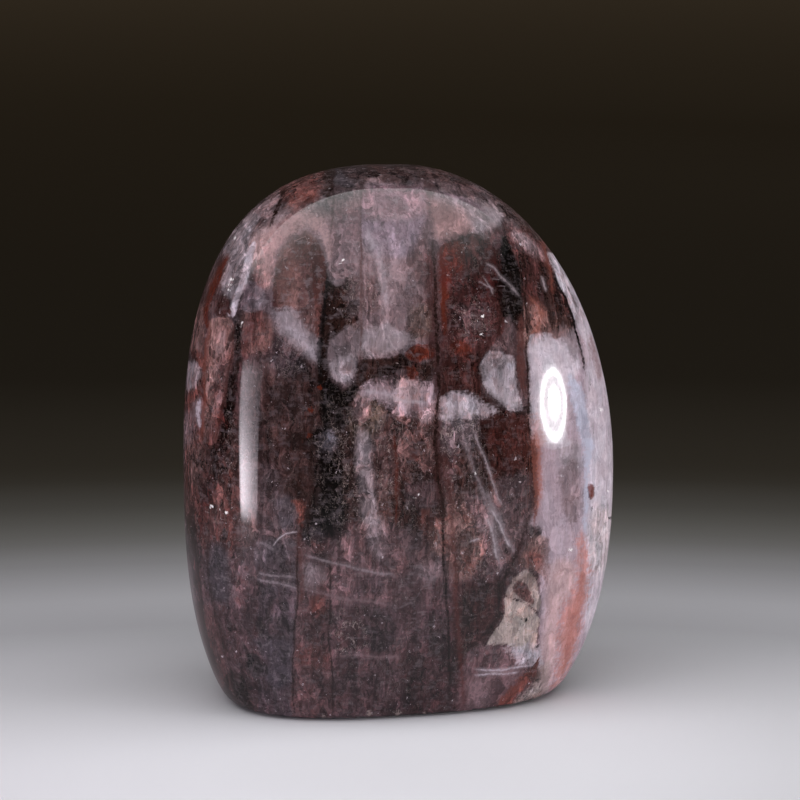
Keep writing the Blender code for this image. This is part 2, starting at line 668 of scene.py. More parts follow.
@dataclass
class Studio:
    """The pale floor and the soft lights round the stone.

    The floor's colour is a painted pool of light: its shades run from the pale radius to the dark radius of
    an oval, and its painted far glow, an emission where no lamp is, starts further off. A panel is set by its
    azimuth, its distance, the place that it looks at and its size.
    """

    sight: Sight
    floor_radius: float = 4.0
    floor_corners: int = 96
    floor_drop: float = 0.05 * MM
    floor_roughness: float = 0.9
    pale_radius: float = 20.0 * MM
    dark_radius: float = 235.0 * MM
    pool_shift: float = 50.0 * MM
    pool_narrowing: float = 0.6
    glow_start: float = 80.0 * MM
    glow_reach: float = 1.8
    # painted pool of light: the floor's colour falls off away from the stone, as the light does
    shades: Stops = (
        (0.0, linear(215, 214, 220)),
        (0.05, linear(211, 210, 216)),
        (0.17, linear(194, 193, 198)),
        (0.3, linear(178, 177, 182)),
        (0.45, linear(147, 146, 150)),
        (0.61, linear(83, 82, 83)),
        (0.8, linear(60, 58, 56)),
        (1.0, linear(36, 32, 27)),
    )
    # painted glow: emission that makes the far floor shine where no lamp reaches
    far_glow: Stops = (
        (0.012, linear(0, 0, 0)),
        (0.024, linear(88, 87, 90)),
        (0.04, linear(98, 97, 99)),
        (0.052, linear(68, 67, 65)),
        (0.07, linear(44, 43, 40)),
        (0.095, linear(26, 24, 20)),
        (0.16, linear(8, 6, 3)),
        (1.0, linear(43, 36, 27)),
    )
    room: Colour = linear(40, 36, 30)

    def build(self) -> None:
        """Sets up the floor, the lights and the surroundings."""
        self.floor()
        for light in (self.overhead(), self.left_strip(), self.right_lamp(), self.back_fill()):
            light.build()
        self.surroundings()
        bpy.context.scene.view_settings.view_transform = "Standard"

    def floor(self) -> bpy.types.Object:
        """Makes a round floor with a painted pool of light, pale under the stone and dark further off."""
        mesh = bpy.data.meshes.new("floor")
        turns = [2.0 * math.pi * k / self.floor_corners for k in range(self.floor_corners)]
        level = Vector((0.0, 0.0, -self.floor_drop))
        rim = [level + self.floor_radius * Vector((math.cos(turn), math.sin(turn), 0.0)) for turn in turns]
        mesh.from_pydata(rim, [], [tuple(range(self.floor_corners))])
        mesh.materials.append(self.floor_finish())
        floor = place_object("floor", mesh)
        return floor

    def floor_finish(self) -> bpy.types.Material:
        """Makes matt pale card with a painted pool of light, dark far from the stone, and a painted glow."""
        material, graph = new_material("floor")
        place = graph.add("ShaderNodeTexCoord", None, None, "Object")
        to_camera = Vector((self.sight.back.x, self.sight.back.y, 0.0)).normalized()
        across = self.part_along(graph, place, self.sight.right) * self.pool_narrowing
        towards = self.part_along(graph, place, to_camera) - self.pool_shift
        away = graph.length(graph.vector(across, towards, 0.0))
        span = (away - self.pale_radius) / (self.dark_radius - self.pale_radius)
        # the painted glow, which feeds the floor's emission
        glow = graph.shade(self.far_glow, (away - self.glow_start) / self.glow_reach)
        shader = material.node_tree.nodes["Principled BSDF"]
        graph.feed(shader.inputs["Base Color"], graph.shade(self.shades, span))
        graph.feed(shader.inputs["Emission Color"], glow)
        shader.inputs["Emission Strength"].default_value = 1.0
        shader.inputs["Roughness"].default_value = self.floor_roughness
        shader.inputs["Specular IOR Level"].default_value = 0.0
        return material

    def part_along(self, graph: Graph, place: Expression, axis: Vector) -> Expression:
        """How far a place lies along an axis."""
        sides = {0: place, 1: tuple(axis)}
        return graph.add("ShaderNodeVectorMath", {"operation": "DOT_PRODUCT"}, sides, "Value")

    def overhead(self) -> LightPanel:
        """Plans the softbox over the front, which fades away from the stone."""
        middle = Vector((-0.2, -0.94, 0.65))
        depth = Vector((0.0, -2.0, 0.0))
        width = Vector((1.9, 0.0, 0.0))
        shares = [k / 12.0 for k in range(13)]
        return LightPanel(
            "overhead_softbox",
            self.rectangle(middle, depth, width),
            peak=3.8,
            along=tuple((share, (1.0 - share) ** 3.0) for share in shares),
            across=((0.0, 0.0), (0.06, 0.2), (0.14, 0.8), (0.2, 1.0), (0.8, 1.0), (0.86, 0.8), (0.94, 0.2),
                    (1.0, 0.0)),
        )

    def left_strip(self) -> LightPanel:
        """Plans the strip of light that stands close by at the left and widens upwards."""
        away = outward(-55.0)
        shoulder = Vector((-29.0 * MM, -18.0 * MM, 0.0))
        foot = shoulder + away * 165.0 * MM
        edges = ((-39.0, -0.4), (14.0, -0.4), (20.0, 84.0), (-50.0, 84.0))
        corners = tuple(foot + beside(away) * s * MM + Vector((0.0, 0.0, z * MM)) for s, z in edges)
        return LightPanel(
            "left_strip",
            corners,
            peak=36.0,
            tint=(1.0, 0.91, 1.0, 1.0),
            along=((0.0, 0.0), (0.03, 0.2), (0.08, 0.9), (0.2, 0.85), (0.28, 0.62), (0.42, 0.4), (0.58, 0.24),
                   (0.85, 0.2), (1.0, 0.0)),
            across=((0.0, 0.0), (0.1, 0.85), (0.2, 1.0), (0.4, 0.8), (0.6, 0.5), (0.8, 0.28), (0.94, 0.18),
                    (1.0, 0.0)),
        )

    def right_lamp(self) -> LightPanel:
        """Plans the small oval lamp at the right: a bright ring round a dimmer middle, and a halo."""
        halo = 1.4
        away = outward(57.5)
        side = beside(away)
        middle = Vector((24.0, -20.0, 58.5)) * MM + away * 450.0 * MM + side * 4.0 * MM
        lean = side * 50.0 * MM + Vector((0.0, 0.0, 113.0 * MM))
        width = side * 152.0 * MM
        return LightPanel(
            "right_lamp",
            self.rectangle(middle, lean * halo, width * halo),
            peak=38.0,
            radial=((0.0, 1.0), (0.3, 0.9), (0.38, 0.42), (0.5, 0.45), (0.58, 1.0), (0.66, 1.0), (0.73, 0.3),
                    (0.85, 0.06), (1.0, 0.0)),
        )

    def back_fill(self) -> LightPanel:
        """Plans the weak fill behind the stone, which the polish doesn't mirror."""
        away = outward(145.0, 18.0)
        side = beside(away).normalized()
        middle = Vector((0.0, 0.0, 50.0)) * MM + away * 900.0 * MM
        corners = self.rectangle(middle, away.cross(side) * 230.0 * MM, side * 620.0 * MM)
        return LightPanel("back_fill", corners, peak=1.0, mirrored=False)

    def rectangle(self, middle: Vector, along: Vector, across: Vector) -> Corners:
        """The corners of a panel from its middle and its two sides."""
        signs = ((-0.5, -0.5), (-0.5, 0.5), (0.5, 0.5), (0.5, -0.5))
        return tuple(middle + along * a + across * b for a, b in signs)

    def surroundings(self) -> None:
        """Makes a dark, slightly warm room."""
        world = bpy.data.worlds.new("room")
        world.use_nodes = True
        backdrop = world.node_tree.nodes["Background"]
        backdrop.inputs["Color"].default_value = self.room
        backdrop.inputs["Strength"].default_value = 1.0
        bpy.context.scene.world = world


class Tint(Enum):
    """Colours inside the quartz as they look in soft light: red, green and blue from 0 to 255."""

    BLACK = (15, 11, 11)
    UMBER = (34, 20, 18)
    SHADOW = (45, 31, 30)
    PLUM = (74, 59, 62)
    SLATE = (68, 62, 68)
    INK = (46, 39, 43)
    WINE = (50, 25, 23)
    BROWN = (86, 63, 63)
    MAUVE = (98, 76, 80)
    VEIL = (118, 98, 103)
    # lilac with a painted violet cast of the mirrored overhead softbox
    VIOLET = (130, 115, 127)
    HAZE = (106, 92, 97)
    FROST = (137, 124, 131)
    MILK = (152, 137, 144)
    SNOW = (176, 163, 171)
    # painted highlight: the white of a glint of light off a crack inside the quartz
    GLINT = (236, 230, 232)
    LILAC = (164, 144, 155)
    PEARL = (188, 175, 186)
    SKY = (174, 173, 192)
    ROSE = (156, 127, 129)
    BLUSH = (182, 150, 152)
    SALMON = (176, 117, 110)
    CORAL = (158, 96, 84)
    RUST = (106, 60, 53)
    EMBER = (84, 35, 25)
    BRICK = (84, 50, 47)
    CLAY = (110, 82, 80)
    GARNET = (66, 39, 39)
    CREAM = (168, 151, 148)
    SAND = (140, 124, 122)
    OLIVE = (96, 80, 72)

    @property
    def colour(self) -> Colour:
        """The linear colour."""
        return linear(*self.value)


@dataclass(frozen=True)
class Grain:
    """The fine structure inside one area: how strongly each kind of it shows, from 0 to 1."""

    mottle: float = 0.25
    fibre: float = 0.2
    # speckle also sets how many painted glints the grit shows
    speckle: float = 0.15
    rust: float = 0.0
    milk: float = 0.0
    lace: float = 0.0


COARSE_GRAIN = ("mottle", "fibre", "speckle")
STAIN_GRAIN = ("rust", "milk", "lace")
CALM = Grain(0.2, 0.1, 0.15)
BODY = Grain(0.45, 0.35, 0.35, 0.2, 0.15, 0.1)
CLOUDY = Grain(0.3, 0.2, 0.3, 0.0, 0.3, 0.05)
SPARKLY = Grain(0.7, 0.3, 0.9, 0.15, 0.25, 0.35)
GRAINY = Grain(0.65, 0.3, 0.7, 0.4, 0.2, 0.2)
FIBROUS = Grain(0.45, 0.9, 0.4, 0.35, 0.1, 0.05)
LACED = Grain(0.6, 0.35, 0.6, 0.2, 0.2, 1.0)


class Layer(Enum):
    """The order in which sharp areas cover each other, from below."""

    PATCH = "patch"
    INSET = "inset"


@dataclass(frozen=True)
class Wash:
    """A soft-edged area of one colour and grain, with its outline in millimetres of the face plane."""

    name: str
    tint: Tint
    outline: Outline
    fade: float = 1.2
    strength: float = 1.0
    grain: Grain | None = None


@dataclass(frozen=True)
class Patch:
    """A sharp-edged area of one colour."""

    name: str
    tint: Tint
    outline: Outline
    edge: float = 0.2
    strength: float = 1.0
    layer: Layer = Layer.PATCH


@dataclass(frozen=True)
class Vein:
    """A line or a band along a path; each point has its place and the line's width there."""

    name: str
    tint: Tint
    path: tuple[tuple[float, float, float], ...]
    edge: float = 0.2
    strength: float = 1.0


@dataclass(frozen=True)
class Thread:
    """A hair-thin line of even width."""

    name: str
    tint: Tint
    path: Outline
    width: float = 0.3
    strength: float = 0.7
    soft_share: float = 0.4

    def as_vein(self) -> Vein:
        """The same line as a vein with soft sides."""
        path = tuple((u, v, self.width) for u, v in self.path)
        return Vein(self.name, self.tint, path, self.soft_share * self.width, self.strength)


@dataclass(frozen=True)
class Speck:
    """A small round spot."""

    name: str
    tint: Tint
    u: float
    v: float
    radius: float
    strength: float = 1.0


def smooth_path(points: np.ndarray, closed: bool, steps: int = 4) -> np.ndarray:
    """Rounds a drawn line.

    Args:
        points: Its points, one a row.
        closed: Whether the last point joins the first.
        steps: New points for each old one.

    Returns:
        Points of a Catmull-Rom curve through the old ones.
    """
    if closed:
        before, start = np.roll(points, 1, axis=0), points
        after, last = np.roll(points, -1, axis=0), np.roll(points, -2, axis=0)
    else:
        padded = np.vstack([2.0 * points[0] - points[1], points, 2.0 * points[-1] - points[-2]])
        before, start, after, last = padded[:-3], padded[1:-2], padded[2:-1], padded[3:]
    bend = 2.0 * before - 5.0 * start + 4.0 * after - last
    turn = 3.0 * start - before - 3.0 * after + last
    shares = [k / steps for k in range(steps)]
    rows = [start + 0.5 * ((after - before) * t + bend * t**2 + turn * t**3) for t in shares]
    curve = np.stack(rows, axis=1).reshape(-1, points.shape[1])
    return curve if closed else np.vstack([curve, points[-1:]])


def ramp(value: np.ndarray, start: float, end: float) -> np.ndarray:
    """A smooth rise from 0 at the start to 1 at the end."""
    share = np.clip((value - start) / (end - start), 0.0, 1.0)
    return share * share * (3.0 - 2.0 * share)


@dataclass
class Nearest:
    """What a set of points finds on the closest stretch of a line."""

    distance: np.ndarray
    side: np.ndarray
    along: np.ndarray
    width: np.ndarray


class Canvas:
    """The markings as values on a mesh's points, painted in the order in which they are given.

    Lines go into layers, so that they can cross. Where nothing is painted, a point has the level of a place
    outside every area, a line that is far off and a spot that is far off.
    """

    outside = -6.0
    no_line = (9.0, 0.0, 0.5)
    no_spot = (9.0, 9.0, 0.0)
    patch_margin = 2.5
    line_margin = 0.8
    line_fade = 0.3
    line_taper = (-0.02, 0.1)
    line_layers = 6
    spot_margin = 0.8
    least_share = 0.5

    def __init__(self, u: np.ndarray, v: np.ndarray) -> None:
        """Starts with the plain body colour.

        Args:
            u: The points' places to the right on the face plane, in millimetres.
            v: Their places upwards.
        """
        self.u = u
        self.v = v
        count = len(u)
        self.ground = np.tile(np.array(Tint.PLUM.colour[:3]), (count, 1))
        self.grains = {name: np.full(count, value) for name, value in asdict(BODY).items()}
        self.levels = {layer: np.full(count, self.outside) for layer in Layer}
        self.cover = {layer: np.zeros(count) for layer in Layer}
        self.tints = {layer: np.zeros((count, 3)) for layer in Layer}
        self.lines = [np.tile(self.no_line, (count, 1)) for _ in range(self.line_layers)]
        self.gaps = [np.full(count, np.inf) for _ in range(self.line_layers)]
        self.inks = [np.zeros((count, 3)) for _ in range(self.line_layers)]
        self.spots = np.tile(self.no_spot, (count, 1))
        self.spot_gap = np.full(count, np.inf)
        self.spot_inks = np.zeros((count, 3))

    def nearby(self, line: np.ndarray, margin: float) -> np.ndarray:
        """Finds the points in a line's box with a margin round it.

        Args:
            line: The line's points.
            margin: The margin's width.

        Returns:
            The points' numbers.
        """
        low, high = line[:, :2].min(axis=0) - margin, line[:, :2].max(axis=0) + margin
        inside = (self.u > low[0]) & (self.u < high[0]) & (self.v > low[1]) & (self.v < high[1])
        return np.nonzero(inside)[0]

    def measure(self, line: np.ndarray, chosen: np.ndarray) -> Nearest:
        """Measures points against a line.

        Args:
            line: The line's points; a third column is its width.
            chosen: The numbers of the points.

        Returns:
            Distance, side (1 or -1), share of the length and the width there.
        """
        count = len(chosen)
        best = Nearest(np.full(count, np.inf), np.ones(count), np.zeros(count), np.zeros(count))
        u, v = self.u[chosen], self.v[chosen]
        for k in range(len(line) - 1):
            first, step = line[k], line[k + 1] - line[k]
            square = max(step[0] ** 2 + step[1] ** 2, TINY)
            du, dv = u - first[0], v - first[1]
            share = np.clip((du * step[0] + dv * step[1]) / square, 0.0, 1.0)
            away = np.hypot(du - share * step[0], dv - share * step[1])
            closer = away < best.distance
            best.distance[closer] = away[closer]
            turn = step[0] * dv - step[1] * du
            best.side[closer] = np.where(turn[closer] < 0.0, -1.0, 1.0)
            best.along[closer] = (k + share[closer]) / (len(line) - 1)
            if line.shape[1] > 2:
                best.width[closer] = first[2] + share[closer] * step[2]
        return best

    def inside(self, outline: np.ndarray, chosen: np.ndarray) -> np.ndarray:
        """Tells which points lie inside a closed outline.

        Args:
            outline: The outline's points.
            chosen: The numbers of the points.

        Returns:
            True for each chosen point inside.
        """
        u, v = self.u[chosen], self.v[chosen]
        crossings = np.zeros(len(chosen), dtype=int)
        for (u0, v0), (u1, v1) in zip(outline, np.roll(outline, -1, axis=0)):
            spans = (v0 > v) != (v1 > v)
            if v0 != v1:
                crossings += spans & (u < u0 + (v - v0) * (u1 - u0) / (v1 - v0))
        return crossings % 2 == 1

    def depth(self, points: Outline, margin: float) -> tuple[np.ndarray, np.ndarray]:
        """Measures how far points lie inside an outline, in millimetres, and below 0 outside it.

        Args:
            points: The outline.
            margin: How far outside it points are still measured.

        Returns:
            The points' numbers and their depths.
        """
        outline = smooth_path(np.array(points), closed=True)
        chosen = self.nearby(outline, margin)
        found = self.measure(np.vstack([outline, outline[:1]]), chosen)
        return chosen, np.where(self.inside(outline, chosen), found.distance, -found.distance)

    def paint(self, marks: tuple[Any, ...]) -> None:
        """Adds markings of any kind.

        Args:
            marks: The markings, from below.
        """
        kinds = (Wash, Patch, Vein, Thread, Speck)
        brushes = dict(zip(kinds, (self.wash, self.patch, self.vein, self.thread, self.speck)))
        for mark in marks:
            brushes[type(mark)](mark)
            LOG.debug("painted %s", mark.name)

    def wash(self, mark: Wash) -> None:
        """Blends a soft area into the ground."""
        chosen, depth = self.depth(mark.outline, mark.fade)
        share = ramp(depth, -mark.fade, mark.fade) * mark.strength
        self.ground[chosen] += (np.array(mark.tint.colour[:3]) - self.ground[chosen]) * share[:, None]
        if mark.grain:
            for name, value in asdict(mark.grain).items():
                self.grains[name][chosen] += (value - self.grains[name][chosen]) * share

    def patch(self, mark: Patch) -> None:
        """Adds a sharp area, which takes the place of earlier ones of its layer."""
        chosen, depth = self.depth(mark.outline, self.patch_margin)
        level = np.clip(depth / mark.edge, self.outside, -self.outside)
        levels = self.levels[mark.layer]
        wins = (level > levels[chosen]) | (level > 0.0)
        points = chosen[wins]
        levels[points] = np.maximum(levels[points], level[wins])
        self.tints[mark.layer][points] = mark.tint.colour[:3]
        self.cover[mark.layer][points] = mark.strength

    def vein(self, mark: Vein) -> None:
        """Adds a line to the layer where the fewest of its points are taken."""
        line = smooth_path(np.array(mark.path), closed=False)
        reach = line[:, 2].max() / 2.0 + 2.0 * mark.edge + self.line_margin
        chosen = self.nearby(line, reach)
        found = self.measure(line, chosen)
        near = found.distance < reach
        chosen = chosen[near]
        distance, half = found.distance[near], found.width[near] / 2.0
        taken = [np.isfinite(gaps[chosen]).sum() for gaps in self.gaps]
        layer = taken.index(min(taken))
        wins = distance < self.gaps[layer][chosen]
        points = chosen[wins]
        along, side = found.along[near], found.side[near]
        ends = ramp(np.minimum(along, 1.0 - along), *self.line_taper)
        strength = (1.0 - ramp(distance, reach - self.line_fade, reach)) * ends * mark.strength
        softness = np.minimum(mark.edge / half, 1.0)
        self.gaps[layer][points] = distance[wins]
        self.lines[layer][points] = np.stack([side * distance / half, strength, softness], axis=1)[wins]
        self.inks[layer][points] = mark.tint.colour[:3]

    def thread(self, mark: Thread) -> None:
        """Adds a hair-thin line."""
        self.vein(mark.as_vein())

    def speck(self, mark: Speck) -> None:
        """Adds a round spot."""
        chosen = self.nearby(np.array([[mark.u, mark.v]]), mark.radius + self.spot_margin)
        du, dv = self.u[chosen] - mark.u, self.v[chosen] - mark.v
        gap = np.hypot(du, dv)
        wins = gap < self.spot_gap[chosen]
        points = chosen[wins]
        self.spot_gap[points] = gap[wins]
        strength = np.full(len(points), mark.strength)
        self.spots[points] = np.stack([du[wins] / mark.radius, dv[wins] / mark.radius, strength], axis=1)
        self.spot_inks[points] = mark.tint.colour[:3]

    def take_off(self, sheen: np.ndarray) -> None:
        """Darkens every colour by the sheen that lay on it when it was matched."""
        for colours in (self.ground, self.spot_inks, *self.tints.values(), *self.inks):
            colours[:] = np.maximum(colours - sheen[:, None], self.least_share * colours)

    def store(self, mesh: bpy.types.Mesh) -> None:
        """Writes everything to a mesh as attributes of its points.

        Args:
            mesh: The stone's mesh.
        """
        fields = {
            "ground": self.ground,
            "coarse": np.stack([self.grains[name] for name in COARSE_GRAIN], axis=1),
            "stains": np.stack([self.grains[name] for name in STAIN_GRAIN], axis=1),
            "spot_edge": self.spots,
            "spot_tint": self.spot_inks,
        }
        for layer in Layer:
            flat = np.zeros(len(self.u))
            fields[layer.value + "_edge"] = np.stack([self.levels[layer], self.cover[layer], flat], axis=1)
            fields[layer.value + "_tint"] = self.tints[layer]
        for k in range(self.line_layers):
            fields[f"line_edge_{k}"] = self.lines[k]
            fields[f"line_tint_{k}"] = self.inks[k]
        for name, values in fields.items():
            store_field(mesh, name, values)


def store_field(mesh: bpy.types.Mesh, name: str, values: np.ndarray) -> None:
    """Writes an attribute of three numbers a point."""
    attribute = mesh.attributes.new(name, "FLOAT_VECTOR", "POINT")
    attribute.data.foreach_set("vector", np.ascontiguousarray(values, dtype=np.float32).ravel())


BROAD_AREAS = (
    Wash("plum lower left", Tint.PLUM, ((-40, 34), (-22, 36), (-4, 33), (-3, -6), (-40, -6)), 2.0,
        grain=BODY),
    Wash("dark heart", Tint.SHADOW, ((-16, 52), (-2, 55), (10, 52), (25, 51), (26, 36), (24, 27), (15, 22),
        (2, 30), (-8, 29), (-17, 28)), 2.5, grain=GRAINY),
    Wash("plum lower middle", Tint.PLUM, ((-4, 30), (8, 26), (14, 22), (20, 19), (15, 9), (12, -5),
        (-4, -6)), 2.0, grain=BODY),
    Wash("brown left middle", Tint.BROWN, ((-28, 64), (-14, 62), (-13, 36), (-27, 36)), 2.0, 0.45, BODY),
    Wash("pale top", Tint.HAZE, ((-22, 87), (-14, 91), (0, 93), (8, 92), (8, 84), (7, 64), (-6, 63),
        (-12, 60), (-14, 62), (-24, 70)), 1.5, grain=CLOUDY),
    Wash("rust left side", Tint.BRICK, ((-38, 56), (-33, 60), (-28, 48), (-28, 28), (-36, 28), (-39, 40)),
        1.5, 0.7, GRAINY),
    Wash("right band", Tint.LILAC, ((24.5, 67), (31, 66), (35, 68), (41, 55), (41, 30), (37, 10), (30, -3),
        (27, 0), (26.5, 14), (27, 30), (26, 44)), 0.8, grain=CALM),
    Wash("streaked right shoulder", Tint.GARNET, ((20, 88), (24, 86), (28.5, 79), (32.5, 68), (29, 67),
        (24, 64), (23, 70), (20, 82)), 1.0, grain=FIBROUS),
    Wash("warm foot of the shoulder", Tint.CLAY, ((22.8, 71), (30, 70), (32.5, 67), (29, 64.6), (23.4, 64)),
        0.8, 0.85),
    Wash("plum rim over the arch", Tint.PLUM, ((-13, 97), (0, 99), (14, 96), (24, 88), (21, 85), (12, 91),
        (0, 93.3), (-10, 92)), 0.6, grain=BODY),
)

LEFT_SHOULDER = (
    Patch("rust plum top corner", Tint.BRICK, ((-21, 92.5), (-18, 95), (-13.3, 96.5), (-13.2, 92.5),
        (-13.8, 90.4), (-16.2, 89.3), (-18.2, 88.2), (-19.6, 88.8), (-20.3, 90.6)), 0.5, 0.75),
    Wash("redder foot of the corner", Tint.RUST, ((-18.5, 90.5), (-15, 91.8), (-13.5, 91), (-14.6, 89.8),
        (-18, 88.2)), 0.7, 0.8),
    Wash("dark beside the corner", Tint.SHADOW, ((-13.3, 97), (-10.6, 97.5), (-10.7, 91.5), (-12.6, 90.5)),
        0.5, 0.9),
    Wash("blue grey top rim", Tint.SLATE, ((-10.5, 97), (-5.5, 97.5), (-5.6, 93.2), (-10.4, 92.2)), 0.6,
        0.8, CLOUDY),
    Wash("dark rim crown", Tint.SHADOW, ((-10, 97), (0, 98), (8, 97), (14, 95.6), (16, 93.2), (12, 93),
        (7, 94), (0, 93.7), (-7, 93.5)), 0.5, 0.75),
    Patch("pink left of the rust vein", Tint.VEIL, ((-25, 88.4), (-22.4, 90.9), (-20.7, 91.6),
        (-21.1, 89.2), (-22, 87.2), (-24.4, 86.9)), 0.2, 0.9),
    Vein("dark rust vein at the shoulder", Tint.UMBER, ((-19.6, 92.6, 0.7), (-20.4, 90.5, 0.9),
        (-21.2, 88.4, 0.9), (-22, 86.6, 0.7), (-22.8, 85.2, 0.4))),
    Wash("pink under the shoulder", Tint.ROSE, ((-25.4, 84.5), (-22.5, 85.5), (-18, 87.5), (-17, 85.5),
        (-20.5, 82.5), (-22.3, 78), (-22, 75), (-25, 75), (-26, 78)), 0.8, 0.85, CLOUDY),
    Patch("frosted blue patch", Tint.FROST, ((-30.8, 81.2), (-28.8, 85), (-25.2, 88), (-24.7, 86.4),
        (-25.8, 83.8), (-26.2, 81), (-25.4, 78.4), (-26.2, 76), (-27.6, 73.6), (-29, 72), (-30.8, 73.3),
        (-31.2, 75.6), (-30.2, 78.2)), 0.25, 0.8),
    # partly a lilac fold and partly a painted reflection: the left end of the mirrored softbox's band
    Patch("lilac fold in the frost", Tint.PEARL, ((-24.6, 82.8), (-25.6, 79), (-26.6, 76), (-27.8, 72.4),
        (-28.6, 69.6), (-29.6, 69.2), (-29.7, 71.2), (-28.8, 73.6), (-27.9, 76), (-27.1, 79), (-26.2, 82)),
        0.12, 0.85, Layer.INSET),
    Vein("rust streak at the left rim", Tint.EMBER, ((-29.8, 80.8, 0.5), (-31, 78.4, 1.0), (-32, 76, 1.2),
        (-33, 73.9, 1.2), (-33.8, 71.6, 1.0), (-34, 69, 0.9), (-33.4, 66, 0.5)), 0.2),
    Patch("dark orange spot", Tint.WINE, ((-32.4, 72.2), (-31.3, 73), (-29.8, 72.6), (-29.4, 71),
        (-29.8, 69.4), (-32.2, 69.4)), 0.3, 0.9, Layer.INSET),
    Wash("pale outer rim", Tint.CLAY, ((-35.2, 72), (-34.3, 70.5), (-34.4, 66), (-34.6, 63), (-37, 63),
        (-36.2, 68)), 0.4, 0.7),
)

LEFT_BLOCK = (
    Patch("pink brown block", Tint.CLAY, ((-33.4, 68.4), (-31.4, 69.2), (-29.6, 69), (-28.9, 67.6),
        (-29, 64), (-29.6, 60), (-30.2, 57), (-30.9, 53.5), (-31.5, 50), (-32, 46.5), (-34.3, 46.5),
        (-34.5, 52), (-34.3, 57), (-34, 61), (-33.7, 65)), 0.1, 0.9),
    Patch("pale inside of the block", Tint.ROSE, ((-32.4, 66), (-30.4, 66.4), (-30.3, 60), (-31.2, 54),
        (-32.6, 54), (-32.4, 60)), 0.5, 0.5, Layer.INSET),
    Patch("dark slot", Tint.UMBER, ((-28.5, 67.6), (-27.8, 67.8), (-27.7, 66.2), (-27.7, 63), (-28, 60),
        (-28.5, 56), (-29.1, 52), (-30.2, 49.6), (-30.8, 52), (-30.6, 54), (-29.7, 58), (-28.7, 62)), 0.14,
        0.95),
    Vein("rust line right of the block", Tint.BRICK, ((-28.9, 68, 0.3), (-29.2, 64, 0.25),
        (-29.8, 60, 0.25), (-30.5, 56.5, 0.4), (-31.2, 52.5, 0.5), (-31.7, 49, 0.5), (-32.2, 46, 0.5)), 0.2,
        0.8),
    Vein("rust line left of the block", Tint.RUST, ((-33.4, 67, 0.7), (-33.9, 63.5, 0.8), (-34.2, 60, 0.6),
        (-34.3, 56, 0.5), (-34.5, 50, 0.5), (-34.6, 46, 0.5)), 0.25, 0.85),
    Patch("rust wedge at the rim", Tint.BRICK, ((-36.6, 63), (-34.4, 62.4), (-34.1, 60.6), (-34.9, 59.5),
        (-36, 61)), 0.25),
    Patch("white rim patch", Tint.MILK, ((-37.6, 61), (-35.9, 60.9), (-34.9, 59.9), (-34.6, 58.5),
        (-35.3, 57.6), (-36.4, 55.6), (-37.6, 55.8), (-38, 58.5)), 0.25, 0.85),
    Patch("second rust wedge", Tint.BRICK, ((-34.7, 58.2), (-34.3, 56), (-34.5, 53), (-35.6, 54.6),
        (-36.9, 53.3), (-38.2, 51.5), (-38, 54.5), (-36, 56.4)), 0.25),
    Vein("white lens at the rim", Tint.PEARL, ((-35.2, 54.6, 0.3), (-35.4, 52.6, 0.9), (-35.1, 50.2, 0.6),
        (-34.9, 48.8, 0.2)), 0.2, 0.85),
    Wash("mauve rim below", Tint.VEIL, ((-39, 52), (-36.4, 51.5), (-36, 47), (-39, 46)), 0.6, 0.7),
    Wash("dark beside the block", Tint.SHADOW, ((-30, 52), (-28.6, 52), (-28.3, 42), (-31, 42)), 0.8, 0.7,
        SPARKLY),
)

